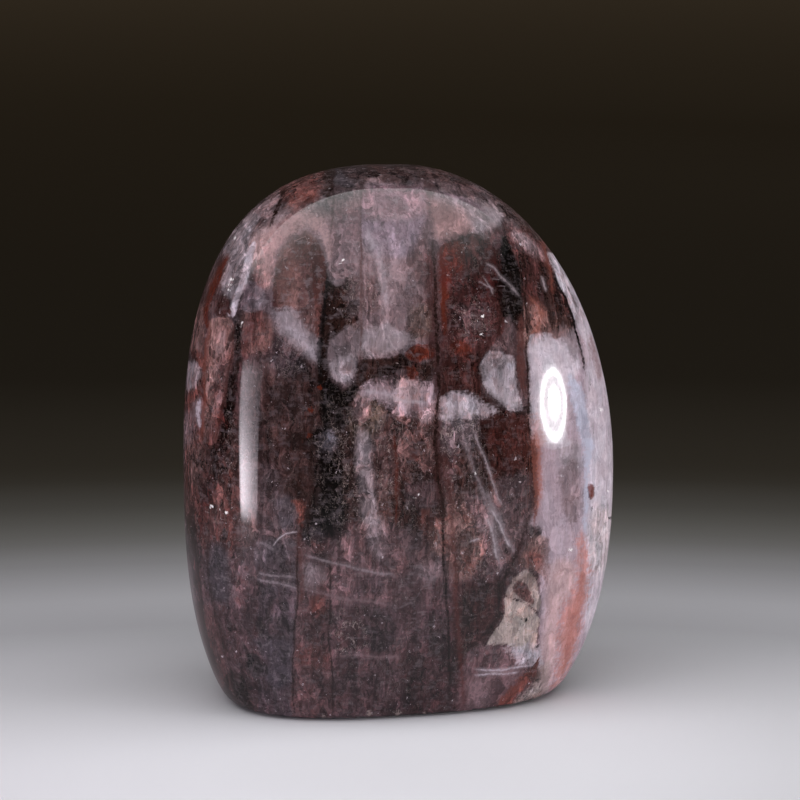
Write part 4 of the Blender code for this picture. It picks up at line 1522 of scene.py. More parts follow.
LOWER_LEFT = (
    Wash("grey glass rim", Tint.HAZE, ((-39.5, 48), (-37.9, 47), (-38.1, 38), (-37.2, 28), (-36.4, 20),
        (-35.2, 12), (-33, 5), (-37, 6), (-40, 30)), 0.35, 0.9, CALM),
    Vein("dark line inside the rim", Tint.SHADOW, ((-37, 46, 0.5), (-37.1, 40, 0.7), (-36.5, 32, 0.8),
        (-35.8, 26, 0.9), (-35.2, 20, 0.9), (-34.6, 14, 1.0), (-33.3, 8, 0.8), (-31.3, 3, 0.5)), 0.4, 0.65),
    Wash("dark side column", Tint.UMBER, ((-33.6, 47), (-32, 47), (-31.8, 35), (-33.6, 34)), 0.6, 0.55,
        FIBROUS),
    Wash("mauve inside the rim", Tint.CLAY, ((-37, 47), (-34, 47), (-34, 40), (-36.8, 39)), 0.7, 0.6),
    Wash("black by the strip", Tint.SHADOW, ((-31.8, 48), (-28.8, 48), (-28.6, 41), (-31.6, 40)), 0.7, 0.75,
        SPARKLY),
    Wash("orange grains", Tint.BRICK, ((-31.6, 40), (-29, 41), (-28.2, 36), (-27.8, 30), (-28, 25.6),
        (-29.6, 25.2), (-31, 28), (-31.5, 34)), 0.8, 0.75, GRAINY),
    # partly grey-brown quartz and partly a painted highlight: the fading lower end of the mirrored left strip
    # light
    Wash("brown under the strip", Tint.CLAY, ((-28.4, 33.6), (-25.2, 33.6), (-25.3, 29), (-27.4, 28)), 0.7,
        0.7, BODY),
    Wash("slate pool left", Tint.SLATE, ((-33.4, 28), (-30.8, 27.8), (-29.4, 25.6), (-29.2, 21.6),
        (-29.8, 18.4), (-31.4, 17.6), (-33.4, 19), (-34, 23)), 0.9, 0.85, CLOUDY),
    Wash("brown smear below", Tint.MAUVE, ((-29.8, 26), (-27.2, 26), (-26.8, 18), (-28.6, 16.6),
        (-29.4, 19)), 0.8, 0.7, GRAINY),
    Vein("curved dark line", Tint.SHADOW, ((-33.4, 32, 0.3), (-33.8, 26, 0.5), (-33.2, 20, 0.6),
        (-32.2, 15, 0.7), (-31.2, 11.4, 0.7), (-30.1, 8, 0.6), (-29.2, 4, 0.6), (-28.4, 0, 0.4)), 0.25,
        0.8),
    Wash("grey brown foot left", Tint.BROWN, ((-36, 16), (-33, 16), (-31, 10), (-30, 4), (-31.6, 2),
        (-35, 7)), 0.8, 0.55, CALM),
    Wash("slate blue foot", Tint.SLATE, ((-25.4, 10.6), (-22, 10.8), (-18.5, 10.4), (-18.3, 5), (-20, 2),
        (-23, 3.4), (-23, 7.6)), 0.9, 0.85, CLOUDY),
    Wash("brown left centre", Tint.SHADOW, ((-24.6, 48), (-16.6, 48), (-16.4, 37), (-20, 35.4),
        (-24.4, 36)), 1.2, 0.8, BODY),
    Wash("plum left centre", Tint.PLUM, ((-24.4, 42), (-20.6, 41), (-21.4, 33), (-24.4, 32)), 1.0, 0.7),
    Wash("slate left centre", Tint.SLATE, ((-21.4, 36), (-18.4, 36.4), (-17.8, 31.6), (-20.6, 30.8)), 0.9,
        0.7),
    Vein("left vein", Tint.UMBER, ((-16.4, 37, 0.3), (-17.2, 28, 0.35), (-17.6, 24, 0.35), (-17.5, 20, 0.4),
        (-17.6, 16, 0.35), (-18.3, 8, 0.35), (-18.2, 0, 0.3), (-18, -3.4, 0.3)), 0.1, 0.85),
    Patch("slate column", Tint.SLATE, ((-24.8, 28), (-17.3, 28), (-17.6, 16), (-18.2, 8), (-18.1, -4),
        (-24, -4), (-24.4, 8), (-24.6, 20)), 0.1, 0.5),
    Patch("brown column", Tint.BROWN, ((-17.3, 28), (-11.6, 27), (-11.5, 17), (-11.7, 12), (-11.1, -4),
        (-18.1, -4), (-18.2, 8), (-17.6, 16)), 0.1, 0.3),
    Patch("dark block in the column", Tint.INK, ((-24.4, 15), (-18, 14.4), (-17.9, 11), (-21, 10.6),
        (-24.4, 11.4)), 0.2, 0.55, Layer.INSET),
    Patch("black block in the foot", Tint.INK, ((-26.4, 8.4), (-23.9, 7.6), (-22.9, 4.6), (-25.6, 4),
        (-26.8, 5.8)), 0.15, 0.8, Layer.INSET),
    Patch("dark foot of the column", Tint.SHADOW, ((-30, 5), (-27.6, 4.4), (-26.4, 1), (-25.2, -3),
        (-29, -2.6), (-31, 1)), 0.2, 0.75),
    Vein("red of the left vein", Tint.BRICK, ((-17.4, 31, 0.5), (-17, 27, 0.9), (-16.8, 22, 0.8),
        (-16.9, 17, 0.5)), 0.4, 0.6),
    Vein("second left vein", Tint.UMBER, ((-11.6, 27, 0.3), (-11.6, 22, 0.35), (-11.4, 17, 0.4),
        (-11.7, 12, 0.35), (-11.2, 6, 0.35), (-11, -3.3, 0.3)), 0.1, 0.8),
    Patch("red fleck", Tint.RUST, ((-18.6, 36), (-17.4, 36.4), (-16.3, 36), (-16.2, 33), (-16.6, 30.6),
        (-17.3, 31.4), (-17.2, 34)), 0.3, 0.85),
    Wash("coral cloud", Tint.RUST, ((-15, 18.4), (-12.8, 18.8), (-12, 16.6), (-13.2, 15), (-15, 16)), 0.8,
        0.6),
    Wash("reddish foot", Tint.BRICK, ((-17.8, 9.4), (-12.2, 9.6), (-12, 6.4), (-15, 5.4), (-17.8, 6.4)),
        1.0, 0.5, BODY),
    Wash("black sparkling zone", Tint.BLACK, ((-15.8, 47), (-12, 50), (-8.6, 49), (-7.6, 42), (-8.6, 36),
        (-9.4, 31), (-12, 29.6), (-15.8, 30), (-16, 34), (-15, 40)), 1.0, 0.9, SPARKLY),
    Vein("black column", Tint.BLACK, ((-12.4, 44, 0.8), (-12.2, 40, 1.7), (-12, 37, 1.9), (-11.8, 34, 1.8),
        (-12.6, 30, 0.8)), 0.5, 0.6),
    Patch("slate glint in the black", Tint.SLATE, ((-13, 48), (-10.8, 48.2), (-10.6, 45), (-12.8, 44.8)),
        0.5, 0.75),
    Vein("dark line beside the column", Tint.UMBER, ((-15.2, 50, 0.5), (-14.8, 45, 0.8), (-15, 40, 1.1),
        (-15.3, 35, 0.9), (-15.6, 29, 0.5)), 0.4, 0.8),
    Patch("dark above the red fleck", Tint.UMBER, ((-18.8, 36.4), (-19.6, 38.4), (-18, 40.4), (-16.4, 41),
        (-15.6, 38), (-15.9, 36.4)), 0.4, 0.7),
    Wash("slate under the black zone", Tint.INK, ((-16.4, 30.6), (-12.4, 30.4), (-12, 25), (-16.6, 24.6)),
        0.8, 0.8),
    Patch("dark right of the second vein", Tint.BLACK, ((-13, 35), (-11, 37), (-8.8, 35.6), (-8, 32),
        (-8.8, 29.4), (-12.4, 29.2)), 0.4, 0.95),
    Wash("mauve middle", Tint.MAUVE, ((-11.4, 30), (-6, 32), (0, 30), (2, 26), (3.6, 20), (-4, 17),
        (-11.4, 18.6)), 1.2, 0.8, BODY),
    Patch("pale glow in the mauve", Tint.VEIL, ((-4, 31), (-1.6, 31), (-0.8, 27), (-3.4, 26)), 0.6, 0.6),
    Patch("dark pool in the mauve", Tint.INK, ((-5.8, 22), (-3, 22.6), (-1.8, 20.6), (-3.2, 18.8),
        (-5.8, 19.4)), 0.3, 0.6),
    Wash("crackled grey zone", Tint.PLUM, ((-10.6, 15.4), (-6, 14.4), (-4.6, 10), (-6, 7), (-10.4, 7.4)),
        1.0, 0.6, LACED),
    Patch("slate right of the crackle", Tint.INK, ((-5, 15.6), (-0.6, 15), (0.2, 10.6), (-1.6, 8.6),
        (-4.6, 9.4)), 0.2, 0.6),
    Vein("dark seam left of the black zone", Tint.UMBER, ((-16, 50, 1.0), (-16.5, 43, 1.6),
        (-16.3, 37, 1.7), (-15.6, 32, 1.0)), 0.5, 0.65),
    Wash("mist between the veins", Tint.FROST, ((-17, 24), (-14.6, 24.2), (-12.4, 22.8), (-13.4, 20.8),
        (-16.8, 20.8)), 0.8, 0.55, CLOUDY),
    Wash("plum foot middle", Tint.PLUM, ((-10.4, 7), (0, 7.4), (0.6, -4), (-10.4, -4)), 1.0, 0.6, BODY),
    Wash("pale veil", Tint.MILK, ((-6.8, 48), (-5.4, 49), (-4.2, 46), (-4, 42), (-3.7, 37), (-2.7, 33),
        (-1.8, 29.5), (-2, 26), (-3.2, 25.4), (-4.2, 28), (-5.2, 31.4), (-6.2, 36), (-6.8, 41)), 0.7, 0.55,
        CLOUDY),
    Wash("grey left of the veil", Tint.SHADOW, ((-9.4, 47), (-7, 47), (-6.4, 36), (-5.4, 30), (-8.2, 32)),
        0.9, 0.55, LACED),
    Wash("lace right of the veil", Tint.BROWN, ((-3.4, 48), (0, 47.6), (0.4, 38), (-3.2, 38)), 0.8, 0.7,
        LACED),
    Wash("dark spot by the veil", Tint.SHADOW, ((-2, 38), (0.2, 38), (0.8, 34), (-1.2, 33.4)), 0.6, 0.8),
)

LEFT_THREADS = (
    Thread("bright thread", Tint.SNOW, ((-21.9, 27.8), (-20.9, 29), (-19.4, 29.8), (-17.6, 30.2)), 0.22,
        0.85),
    Thread("thread one", Tint.FROST, ((-25, 28.4), (-23.4, 28.2), (-21.8, 27)), 0.5, 0.6),
    Thread("thread two", Tint.FROST, ((-24.6, 22.9), (-22, 22.3), (-18.2, 22)), 0.45, 0.7),
    Thread("thread three", Tint.FROST, ((-25, 21.7), (-21, 20.8), (-17.6, 20.1)), 0.5, 0.75),
    Thread("thread five", Tint.FROST, ((-16.6, 26), (-13.5, 25.2), (-12, 24.8), (-9, 24.2), (-6, 23.4),
        (-2, 22.6), (0.5, 22.4)), 0.45, 0.65),
    Thread("thread six", Tint.VEIL, ((-17, 20.4), (-14, 19.3), (-11.6, 18.9), (-9.5, 18.2), (-6, 17.8),
        (0.4, 17)), 0.6, 0.7),
    Thread("thread eight", Tint.VEIL, ((-10.4, 7.6), (-6, 7.9), (-2, 7.5), (1.2, 7.6)), 0.45, 0.65),
)

LOWER_CENTRE = (
    Wash("purple specks", Tint.PLUM, ((0.4, 22), (6, 22), (7, 17), (4, 13), (0, 14)), 1.0, 0.6, CLOUDY),
    Wash("slate pool centre", Tint.INK, ((5.8, 15.6), (9.4, 15.4), (9.8, 9), (6.4, 8.6)), 0.9, 0.7, BODY),
    Wash("pale cloud centre", Tint.VEIL, ((4.4, 24.4), (8.6, 24.2), (8.8, 22), (6, 21.2), (4, 22)), 0.8,
        0.75, CLOUDY),
    Wash("dark foot centre", Tint.SHADOW, ((2.4, 8), (12, 8), (12, -4), (2.4, -4)), 1.2, 0.35, BODY),
    Wash("dark brown right centre", Tint.SHADOW, ((14.6, 21), (20.4, 22), (19, 17.4), (14.4, 17)), 0.8, 0.6,
        BODY),
    Wash("pale brown above the boundary", Tint.MAUVE, ((13, 36), (16, 36), (20.6, 27), (19.6, 22.4),
        (13.6, 21.4), (16, 28)), 0.8, 0.7, SPARKLY),
    Wash("mauve brown by the cream", Tint.BROWN, ((14.4, 18), (19.6, 17.6), (18.4, 12.8), (14.2, 9),
        (12.6, 12)), 0.9, 0.45, BODY),
    Wash("dark column", Tint.SHADOW, ((10.8, 22), (14, 22), (13.6, 8), (10.6, 8)), 0.9, 0.55),
    Wash("orange grains centre", Tint.CLAY, ((9.6, 37.6), (12.4, 35), (15.6, 29), (16, 25), (13.6, 22),
        (10.8, 21.6), (9.6, 27)), 0.9, 0.75, GRAINY),
    Wash("brown above the grains", Tint.MAUVE, ((2.4, 39), (7.4, 39), (7.4, 35.4), (3, 35.4)), 0.9, 0.8,
        BODY),
    Wash("dark left of the grains", Tint.BRICK, ((4.6, 33.6), (7.6, 34), (8, 30.4), (4.8, 30)), 0.8, 0.5,
        BODY),
    Wash("pale brown by the bend of the vein", Tint.CLAY, ((7, 31.6), (10.4, 31.6), (10.2, 27),
        (7.2, 26.6)), 0.8, 0.85),
    Wash("mauve brown right", Tint.MAUVE, ((18.4, 40), (24.8, 40.4), (24.6, 32), (24.8, 27), (19, 26)), 1.0,
        0.6, BODY),
    Wash("lace by the vein", Tint.MAUVE, ((8.8, 48), (11.6, 48), (11.4, 42), (10.4, 37), (9, 37)), 0.7,
        0.55, LACED),
    Wash("grains left of the main vein", Tint.BROWN, ((0.8, 47.4), (7, 47.4), (7.2, 40), (1, 40)), 0.9,
        0.45, GRAINY),
    Vein("pale sheaf one", Tint.FROST, ((12.3, 48.5, 0.4), (13.3, 45, 0.7), (14.3, 42, 0.6),
        (15.4, 39, 0.6), (16.4, 36, 0.9), (17.5, 33, 0.8), (18.4, 29, 0.9), (19, 26, 0.8),
        (19.4, 22.6, 0.4)), 0.4, 0.6),
    Vein("pale sheaf two", Tint.FROST, ((16.6, 37.6, 0.4), (17.6, 35, 0.9), (19, 32.6, 1.0), (20, 30, 0.9),
        (21, 28, 0.8), (21.9, 26.2, 0.3)), 0.4, 0.65),
    Thread("sheaf thread one", Tint.MILK, ((14.3, 48.6), (15.4, 45.6), (16.8, 43), (17.6, 40), (18.3, 37.4),
        (19.6, 34.6)), 0.4, 0.75),
    Thread("sheaf thread two", Tint.SNOW, ((16.7, 32.8), (17.7, 30.8), (18.2, 28.4), (18.8, 25)), 0.4, 0.8),
    Thread("sheaf thread three", Tint.SNOW, ((17.4, 34.4), (18.9, 32), (19.9, 29.8), (21, 27.4)), 0.3, 0.7),
    Thread("short dash", Tint.SNOW, ((13.8, 28.4), (14.6, 28.6), (15.5, 28.8)), 0.4, 0.8),
)

RIGHT_BAND = (
    Vein("orange line inside the band", Tint.RUST, ((24.9, 49, 0.7), (25.2, 45, 0.9), (25.6, 41, 1.0),
        (25.8, 37, 0.8), (25.7, 33.6, 0.5), (25.4, 31, 0.3)), 0.2, 0.9),
    Vein("bright edge of the orange line", Tint.CORAL, ((25.6, 48.6, 0.5), (26.1, 44.6, 0.8),
        (26.4, 40.6, 0.9), (26.4, 36.6, 0.6), (26, 34, 0.3)), 0.35, 0.75),
    Wash("lilac column", Tint.LILAC, ((26.6, 47), (30, 45), (30.4, 34), (31, 29), (29, 22), (28.8, 8),
        (26.6, 10), (27, 22), (28.2, 28), (26.4, 31), (24.8, 31.6), (26.2, 36)), 0.5, 0.9, CALM),
    Wash("pink grey above the inclusion", Tint.MILK, ((29.6, 46.5), (33.6, 46.5), (34.2, 42), (30.4, 41.6)),
        0.8, 0.7, CLOUDY),
    Patch("grey glinting inclusion", Tint.VEIL, ((29.9, 40.6), (31.2, 42.6), (33.2, 43), (34.2, 41),
        (34.4, 37), (34.1, 33.8), (33, 32), (31.6, 31.6), (30.7, 34), (30.1, 37)), 0.5, 0.8),
    Vein("blue vein", Tint.SKY, ((35.4, 48, 1.6), (35, 43, 1.3), (34.7, 38, 0.9), (34.7, 33, 0.8),
        (34.9, 29.4, 0.3)), 0.25, 0.9),
    Patch("dark red spot", Tint.EMBER, ((35, 38.6), (36, 38.8), (36.3, 37.2), (35.9, 36), (35, 36.3)), 0.1,
        1.0, Layer.INSET),
    # partly pale quartz and partly painted light that shines through the thin rim from behind
    Wash("pearl edge", Tint.PEARL, ((35.4, 47), (40.6, 47), (40.6, 36), (38.6, 20), (36, 11), (34.4, 14),
        (35, 24), (35.2, 36)), 0.5, 0.95, CALM),
    Wash("cream of the edge", Tint.CREAM, ((35.6, 34), (39.2, 34), (38.4, 24), (35.6, 24)), 1.2, 0.4,
        SPARKLY),
    Patch("salmon band", Tint.SALMON, ((34, 30.4), (35.3, 26.4), (35.4, 22), (34.7, 18), (33.7, 14),
        (32.9, 10), (31.9, 6.4), (30.4, 3), (28.4, -0.6), (27.7, 0.6), (29.1, 4), (29.6, 8), (29.7, 12),
        (30.4, 16.6), (32, 19), (33.1, 21.4), (33.6, 24), (33.2, 27.4)), 0.7, 0.85),
    Vein("coral core of the band", Tint.CORAL, ((34.2, 24, 0.5), (33.8, 20, 1.1), (33, 16, 1.3),
        (32.2, 12, 1.4), (31.4, 8, 1.2), (30.2, 4, 0.5)), 0.7, 0.55),
    Wash("blush beside the band", Tint.BLUSH, ((28.6, 24), (32.6, 24.6), (32.6, 20), (30.2, 16), (29.6, 8),
        (28, 2), (26.4, 4), (27, 12)), 0.9, 0.8, CALM),
)

CREAM_CORNER = (
    Vein("dark body edge", Tint.UMBER, ((24.8, 34, 0.4), (23.9, 30.6, 0.8), (23, 28, 0.9), (22, 26, 1.0),
        (21.1, 24, 0.9), (20.2, 22, 1.0), (19.2, 20, 1.0), (19.1, 17, 0.8), (18.6, 14.6, 0.8),
        (17.2, 12.8, 0.9), (16.2, 11.2, 1.0), (14.4, 9.8, 0.8), (12.8, 8.2, 0.6)), 0.3, 0.8),
    Wash("shade beside the boundary", Tint.SHADOW, ((13, 21), (18.6, 22.4), (18.6, 15), (15, 11),
        (12.4, 10)), 0.9, 0.5, BODY),
    Patch("cream rock", Tint.CREAM, ((20, 18.2), (22, 17.8), (24, 17.1), (25, 16.3), (25.8, 15.3),
        (26.2, 13.8), (25.9, 12.6), (25.8, 10.6), (25.6, 8.6), (24, 8.8), (22, 9.2), (19.5, 9.9),
        (17.4, 9.5), (16.8, 10.3), (17.6, 11.7), (18.7, 13.1), (19.5, 14.6), (19.9, 16.5)), 0.12),
    Patch("beige rim above", Tint.SAND, ((20.2, 18.7), (20.9, 20.6), (22.1, 22.2), (23.6, 23.4), (25, 22.8),
        (25.8, 20.8), (26.5, 18.4), (26.4, 16.2), (25.6, 16.2), (24.6, 17), (22.4, 18)), 0.15),
    Patch("mauve inclusion", Tint.BROWN, ((21.5, 20.2), (22.3, 21.3), (23.4, 21.2), (24.4, 19.8),
        (25.2, 18), (25.2, 17.1), (24, 17.5), (22.4, 18.4)), 0.12, 1.0, Layer.INSET),
    Patch("rust grains right", Tint.CLAY, ((22.8, 24.4), (23.2, 26.2), (24.2, 28.2), (25.2, 29.4),
        (26.6, 29.6), (27.7, 28.8), (28.1, 26), (28.3, 22.6), (27.6, 20.4), (26.8, 22.2), (25.4, 23.3),
        (23.8, 23.6)), 0.25, 0.75),
    Patch("ember grains", Tint.EMBER, ((24.2, 26.2), (25.4, 27), (27, 26.4), (27.2, 24.2), (25.6, 24),
        (24.2, 24.6)), 0.6, 0.6, Layer.INSET),
    Patch("white cloud", Tint.PEARL, ((20.4, 8.8), (22, 9.5), (24.8, 9.5), (25.9, 8.1), (25, 6.8),
        (23, 6.3), (21.2, 7.4)), 0.6, 0.9, Layer.INSET),
    Patch("mauve grey foot", Tint.MAUVE, ((13.4, 8.6), (15, 9.6), (17.4, 9.9), (20.6, 9.6), (22, 7.6),
        (25.4, 6.6), (24.8, 5), (22, 4.4), (15, 4.4), (13, 5)), 0.3, 0.85),
    Patch("white foot of the band", Tint.PEARL, ((23.8, 9), (26.6, 9.2), (26.8, 6.2), (24.6, 5.8)), 0.5,
        0.8, Layer.INSET),
    Wash("mauve foot", Tint.MAUVE, ((12.6, 4.6), (24, 4.6), (21, 0), (19, -3.4), (12.2, -3.8)), 0.6, 0.8,
        CALM),
    Wash("grey lilac foot", Tint.VEIL, ((13.4, 3.2), (17.4, 3.4), (17, -1.6), (13.4, -2)), 0.9, 0.5, CALM),
    Patch("orange wedge", Tint.RUST, ((26.3, 7.6), (26, 5.6), (25.4, 3.9), (23.9, 2.4), (22.4, 0.8),
        (21.4, -0.8), (19.8, -2.4), (18.2, -2), (19.3, 0.2), (20.5, 1.6), (22, 3.1), (23.4, 4.4),
        (24.6, 5.4), (25.6, 6.6)), 0.35, 0.85, Layer.INSET),
    Patch("grey green foot", Tint.SAND, ((21.4, -1), (23.3, 0.9), (25.1, 2.5), (25.8, 4.3), (26.4, 6.6),
        (28.2, 6.8), (28, 3.4), (27.7, 0.8), (26, -1.2), (23.5, -1.9)), 0.4, 0.7),
    Thread("foot thread one", Tint.PEARL, ((14.6, 5.5), (18, 5), (21, 5.6), (24.8, 6)), 0.35, 0.7),
    Thread("foot thread two", Tint.PEARL, ((14.6, 4.4), (18.6, 4.5), (22.4, 4.9)), 0.35, 0.65),
)

SPECKS = tuple(
    Speck(name, tint, u, v, radius)
    for name, tint, spots in (
        # painted highlights: glints of light off cracks, set as white specks
        ("glint", Tint.GLINT, (
            (-9.3, 79.3, 0.34), (-29.4, 75.9, 0.38), (-28.7, 83.4, 0.3), (-29.9, 74, 0.26), (16.1, 69, 0.34),
            (15.7, 66, 0.3), (37.3, 52.3, 0.34), (32, 27.1, 0.38), (-33, 34.8, 0.34), (-30.3, 33.7, 0.3),
            (4.4, 37, 0.26), (14.7, 40.8, 0.26), (-27.4, 68.2, 0.26), (38.9, 37.4, 0.22),
        )),
        # partly white grains and partly painted glints of light off cracks
        ("white grain", Tint.SNOW, (
            (22.8, 39.4, 0.26), (20.2, 68.4, 0.26), (-31, 7.7, 0.22), (-28.5, 8.7, 0.22), (12.5, 26.5, 0.3),
            (-13.9, 31.8, 0.22), (30.5, 40.3, 0.34),
        )),
        ("red grain", Tint.EMBER, ((-13.5, 56.2, 0.5), (-15, 52.2, 0.6), (-15.4, 47.6, 0.5))),
        ("black grain", Tint.BLACK, ((23.9, 14.4, 0.35), (39, 32.6, 0.3))),
        ("sandy grain", Tint.SAND, (
            (-4.5, -2.6, 0.6), (-12.6, -2.9, 0.4), (0.6, -2.7, 0.6), (5.6, -2.6, 0.45),
        )),
    )
    for u, v, radius in spots
)

ALL_MARKS = (
    BROAD_AREAS, LEFT_SHOULDER, LEFT_BLOCK, LEFT_FINGER, CENTRE_TONGUE, MAIN_VEIN, RIGHT_LOBE, RIGHT_ROCK,
    RIGHT_SHOULDER, LOWER_LEFT, LEFT_THREADS, LOWER_CENTRE, RIGHT_BAND, CREAM_CORNER, SPECKS,
)


Parts = tuple[Expression, Expression, Expression]
MIDDLE = 0.5


@dataclass(frozen=True)
class SoftNoise:
    """A soft noise inside the quartz, whose values swing round the middle; its scale is for millimetres."""

    stretch: Stretch
    scale: float
    detail: float
    roughness: float
    distortion: float
    shift: Stretch | None = None

    def read(self, graph: Graph, place: Expression) -> Parts:
        """Adds the noise to a material.

        Args:
            graph: The material's tree.
            place: The place in the stone.

        Returns:
            Three noises of one shape, each between 0 and 1.
        """
        moved = place + self.shift if self.shift else place
        shape = {"Scale": self.scale, "Detail": self.detail, "Roughness": self.roughness}
        values = {"Vector": moved * self.stretch, "Distortion": self.distortion, **shape}
        return graph.axes(graph.add("ShaderNodeTexNoise", None, values, "Color"))


NOISES = {
    "broad": SoftNoise((1.0, 1.0, 0.7), 0.4, 2.0, 0.5, 0.5),
    "veil": SoftNoise((1.0, 1.0, 0.75), 0.9, 4.0, 0.6, 0.6, (3.0, 41.0, 5.0)),
    "wisp": SoftNoise((1.0, 1.0, 0.45), 0.8, 2.0, 0.55, 1.2, (9.0, 2.0, 7.0)),
    "fine": SoftNoise((1.0, 1.0, 0.8), 2.3, 2.0, 0.6, 0.0),
    "fibre": SoftNoise((1.0, 1.0, 0.06), 1.3, 3.0, 0.6, 0.3),
    "brush": SoftNoise((0.25, 0.25, 1.0), 1.5, 3.0, 0.6, 0.4),
    "curl": SoftNoise((1.0, 1.0, 0.8), 0.8, 2.0, 0.5, 1.6),
}


@dataclass(frozen=True)
class Reading:
    """What the material reads at a point: its place in millimetres, the noises and the painted grain."""

    graph: Graph
    place: Expression
    noises: Mapping[str, Parts]
    grain: Mapping[str, Expression]


@dataclass(frozen=True)
class FarMarbling:
    """The painted ground colour, and a free marbling that takes its place on the far side."""

    cover: float = 0.75
    stretch: Stretch = (1.0, 1.0, 0.45)
    scale: float = 0.07
    detail: float = 4.0
    roughness: float = 0.6
    tints: tuple[tuple[float, Tint], ...] = (
        (0.3, Tint.SHADOW),
        (0.42, Tint.PLUM),
        (0.5, Tint.BROWN),
        (0.58, Tint.MAUVE),
        (0.7, Tint.LILAC),
    )

    def colour(self, at: Reading) -> Expression:
        """Makes the colour that everything else lies on.

        Args:
            at: What the material reads.

        Returns:
            The ground's colour.
        """
        hidden = at.graph.axes(at.graph.field("far_side"))[0]
        tone = at.graph.clouds(at.place * self.stretch, self.scale, self.detail, self.roughness)
        marble = at.graph.shade(tuple((level, tint.colour) for level, tint in self.tints), tone)
        return at.graph.blend(hidden * self.cover, at.graph.field("ground"), marble)


class Detail:
    """A kind of structure in the quartz."""

    def add(self, at: Reading, colour: Expression) -> Expression:
        """Adds the structure to a colour.

        Args:
            at: What the material reads.
            colour: The colour so far.

        Returns:
            The colour with the structure.
        """
        raise NotImplementedError


@dataclass(frozen=True)
class SharpAreas(Detail):
    """The painted sharp areas, with ragged edges that cover a little less than their hearts."""

    raggedness: float = 5.0
    ragged_shares: tuple[tuple[str, float], ...] = (("brush", 0.7), ("fibre", 0.5), ("fine", 0.3))
    edge_width: float = 1.2
    edge_cover: float = 0.8
    heart_depth: float = 4.0

    def add(self, at: Reading, colour: Expression) -> Expression:
        """Lays the areas over a colour."""
        ragged = at.noises["veil"][1]
        for name, share in self.ragged_shares:
            ragged = ragged + at.noises[name][1] * share
        middle = (1.0 + sum(share for _, share in self.ragged_shares)) * MIDDLE
        for layer in Layer:
            level, strength, _ = at.graph.axes(at.graph.field(layer.value + "_edge"))
            thick = level + (ragged - middle) * self.raggedness
            heart = at.graph.smooth_step(thick, 0.0, self.heart_depth)
            cover = self.edge_cover + heart * (1.0 - self.edge_cover)
            share = at.graph.smooth_step(thick, -self.edge_width, self.edge_width) * cover * strength
            colour = at.graph.blend(share, colour, at.graph.field(layer.value + "_tint"))
        return colour


@dataclass(frozen=True)
class Mottling(Detail):
    """Light and dark spots, fibres and angular facets, weaker where the quartz is pale.

    Each facet kind has its cells in a millimetre and its share of the gain.
    """

    pale_levels: Span = (0.1, 0.3)
    mottle_gain: float = 4.5
    least_mottle: float = 0.1
    wisp_share: float = 0.6
    pale_wisp_loss: float = 0.25
    fibre_gain: float = 2.4
    pale_fibre_loss: float = 0.7
    pale_brush_gain: float = 0.5
    grit_gain: float = 1.9
    even_speckle: float = 0.1
    facets: tuple[tuple[float, float], ...] = ((0.35, 0.8), (0.8, 0.75), (1.9, 0.5))
    facet_gain: float = 3.2
    facet_stretch: Stretch = (1.0, 1.0, 0.5)
    facet_bend: float = 5.0
    facet_fray: float = 0.35
    pale_facet_loss: float = 0.6
    warmth: float = 0.45
    least_warm_mottle: float = 0.15
    warm_shift: Stretch = (1.0, -0.3, -0.6)

    def add(self, at: Reading, colour: Expression) -> Expression:
        """Lightens and darkens a colour, and makes it warmer or cooler."""
        graph = at.graph
        broad, _, wisp, fine, fibres, brush, _ = at.noises.values()
        mottle = at.grain["mottle"] + self.least_mottle
        pale = graph.smooth_step(graph.grey(colour), *self.pale_levels)
        rough = (at.grain["speckle"] - self.even_speckle).at_least(0.0)
        wispy = self.wisp_share - pale * self.pale_wisp_loss
        fibrous = at.grain["fibre"] * (1.0 - pale * self.pale_fibre_loss)
        tone = (
            (broad[0] - MIDDLE) * at.grain["mottle"] * self.mottle_gain
            + (wisp[0] - MIDDLE) * mottle * wispy * self.mottle_gain
            + (fibres[0] - MIDDLE) * fibrous * self.fibre_gain
            + (brush[0] - MIDDLE) * pale * self.pale_brush_gain
            + (fine[0] - MIDDLE) * rough * self.grit_gain
        )
        bent = at.place * self.facet_stretch + graph.vector(*broad) * self.facet_bend
        frayed = bent + graph.vector(*fine) * self.facet_fray
        for scale, share in self.facets:
            cells = graph.add("ShaderNodeTexVoronoi", None, {"Vector": frayed, "Scale": scale}, "Color")
            swing = (graph.axes(cells)[0] - MIDDLE) * (share * self.facet_gain)
            tone = tone + swing * mottle * (1.0 - pale * self.pale_facet_loss)
        warm = (broad[1] - MIDDLE) * self.warmth * (at.grain["mottle"] + self.least_warm_mottle)
        return colour * 2.0**tone * graph.vector(*(1.0 + warm * part for part in self.warm_shift))


@dataclass(frozen=True)
class UprightBands(Detail):
    """Upright growth bands of uneven width, with dark seams between some of them."""

    width: float = 2.6
    bend: float = 2.5
    fray: float = 0.5
    gain: float = 1.3
    least_fibre: float = 0.05
    seam_reach: Span = (0.3, 0.05)
    seam_levels: Span = (0.4, 0.6)

    def add(self, at: Reading, colour: Expression) -> Expression:
        """Lightens and darkens a colour band by band."""
        graph, broad, veil = at.graph, at.noises["broad"], at.noises["veil"]
        across = graph.axes(at.place)[0] + (broad[2] - MIDDLE) * self.bend + (veil[1] - MIDDLE) * self.fray
        places = {"W": across / self.width}
        bands = graph.add("ShaderNodeTexVoronoi", {"voronoi_dimensions": "1D"}, places, "Color")
        edges = {"voronoi_dimensions": "1D", "feature": "DISTANCE_TO_EDGE"}
        gap = graph.add("ShaderNodeTexVoronoi", edges, places, "Distance") * self.width
        seam = graph.smooth_step(gap, *self.seam_reach) * graph.smooth_step(veil[2], *self.seam_levels)
        strength = (at.grain["fibre"] + self.least_fibre) * self.gain
        return colour * (1.0 + (graph.axes(bands)[0] - MIDDLE) * strength - seam * strength)


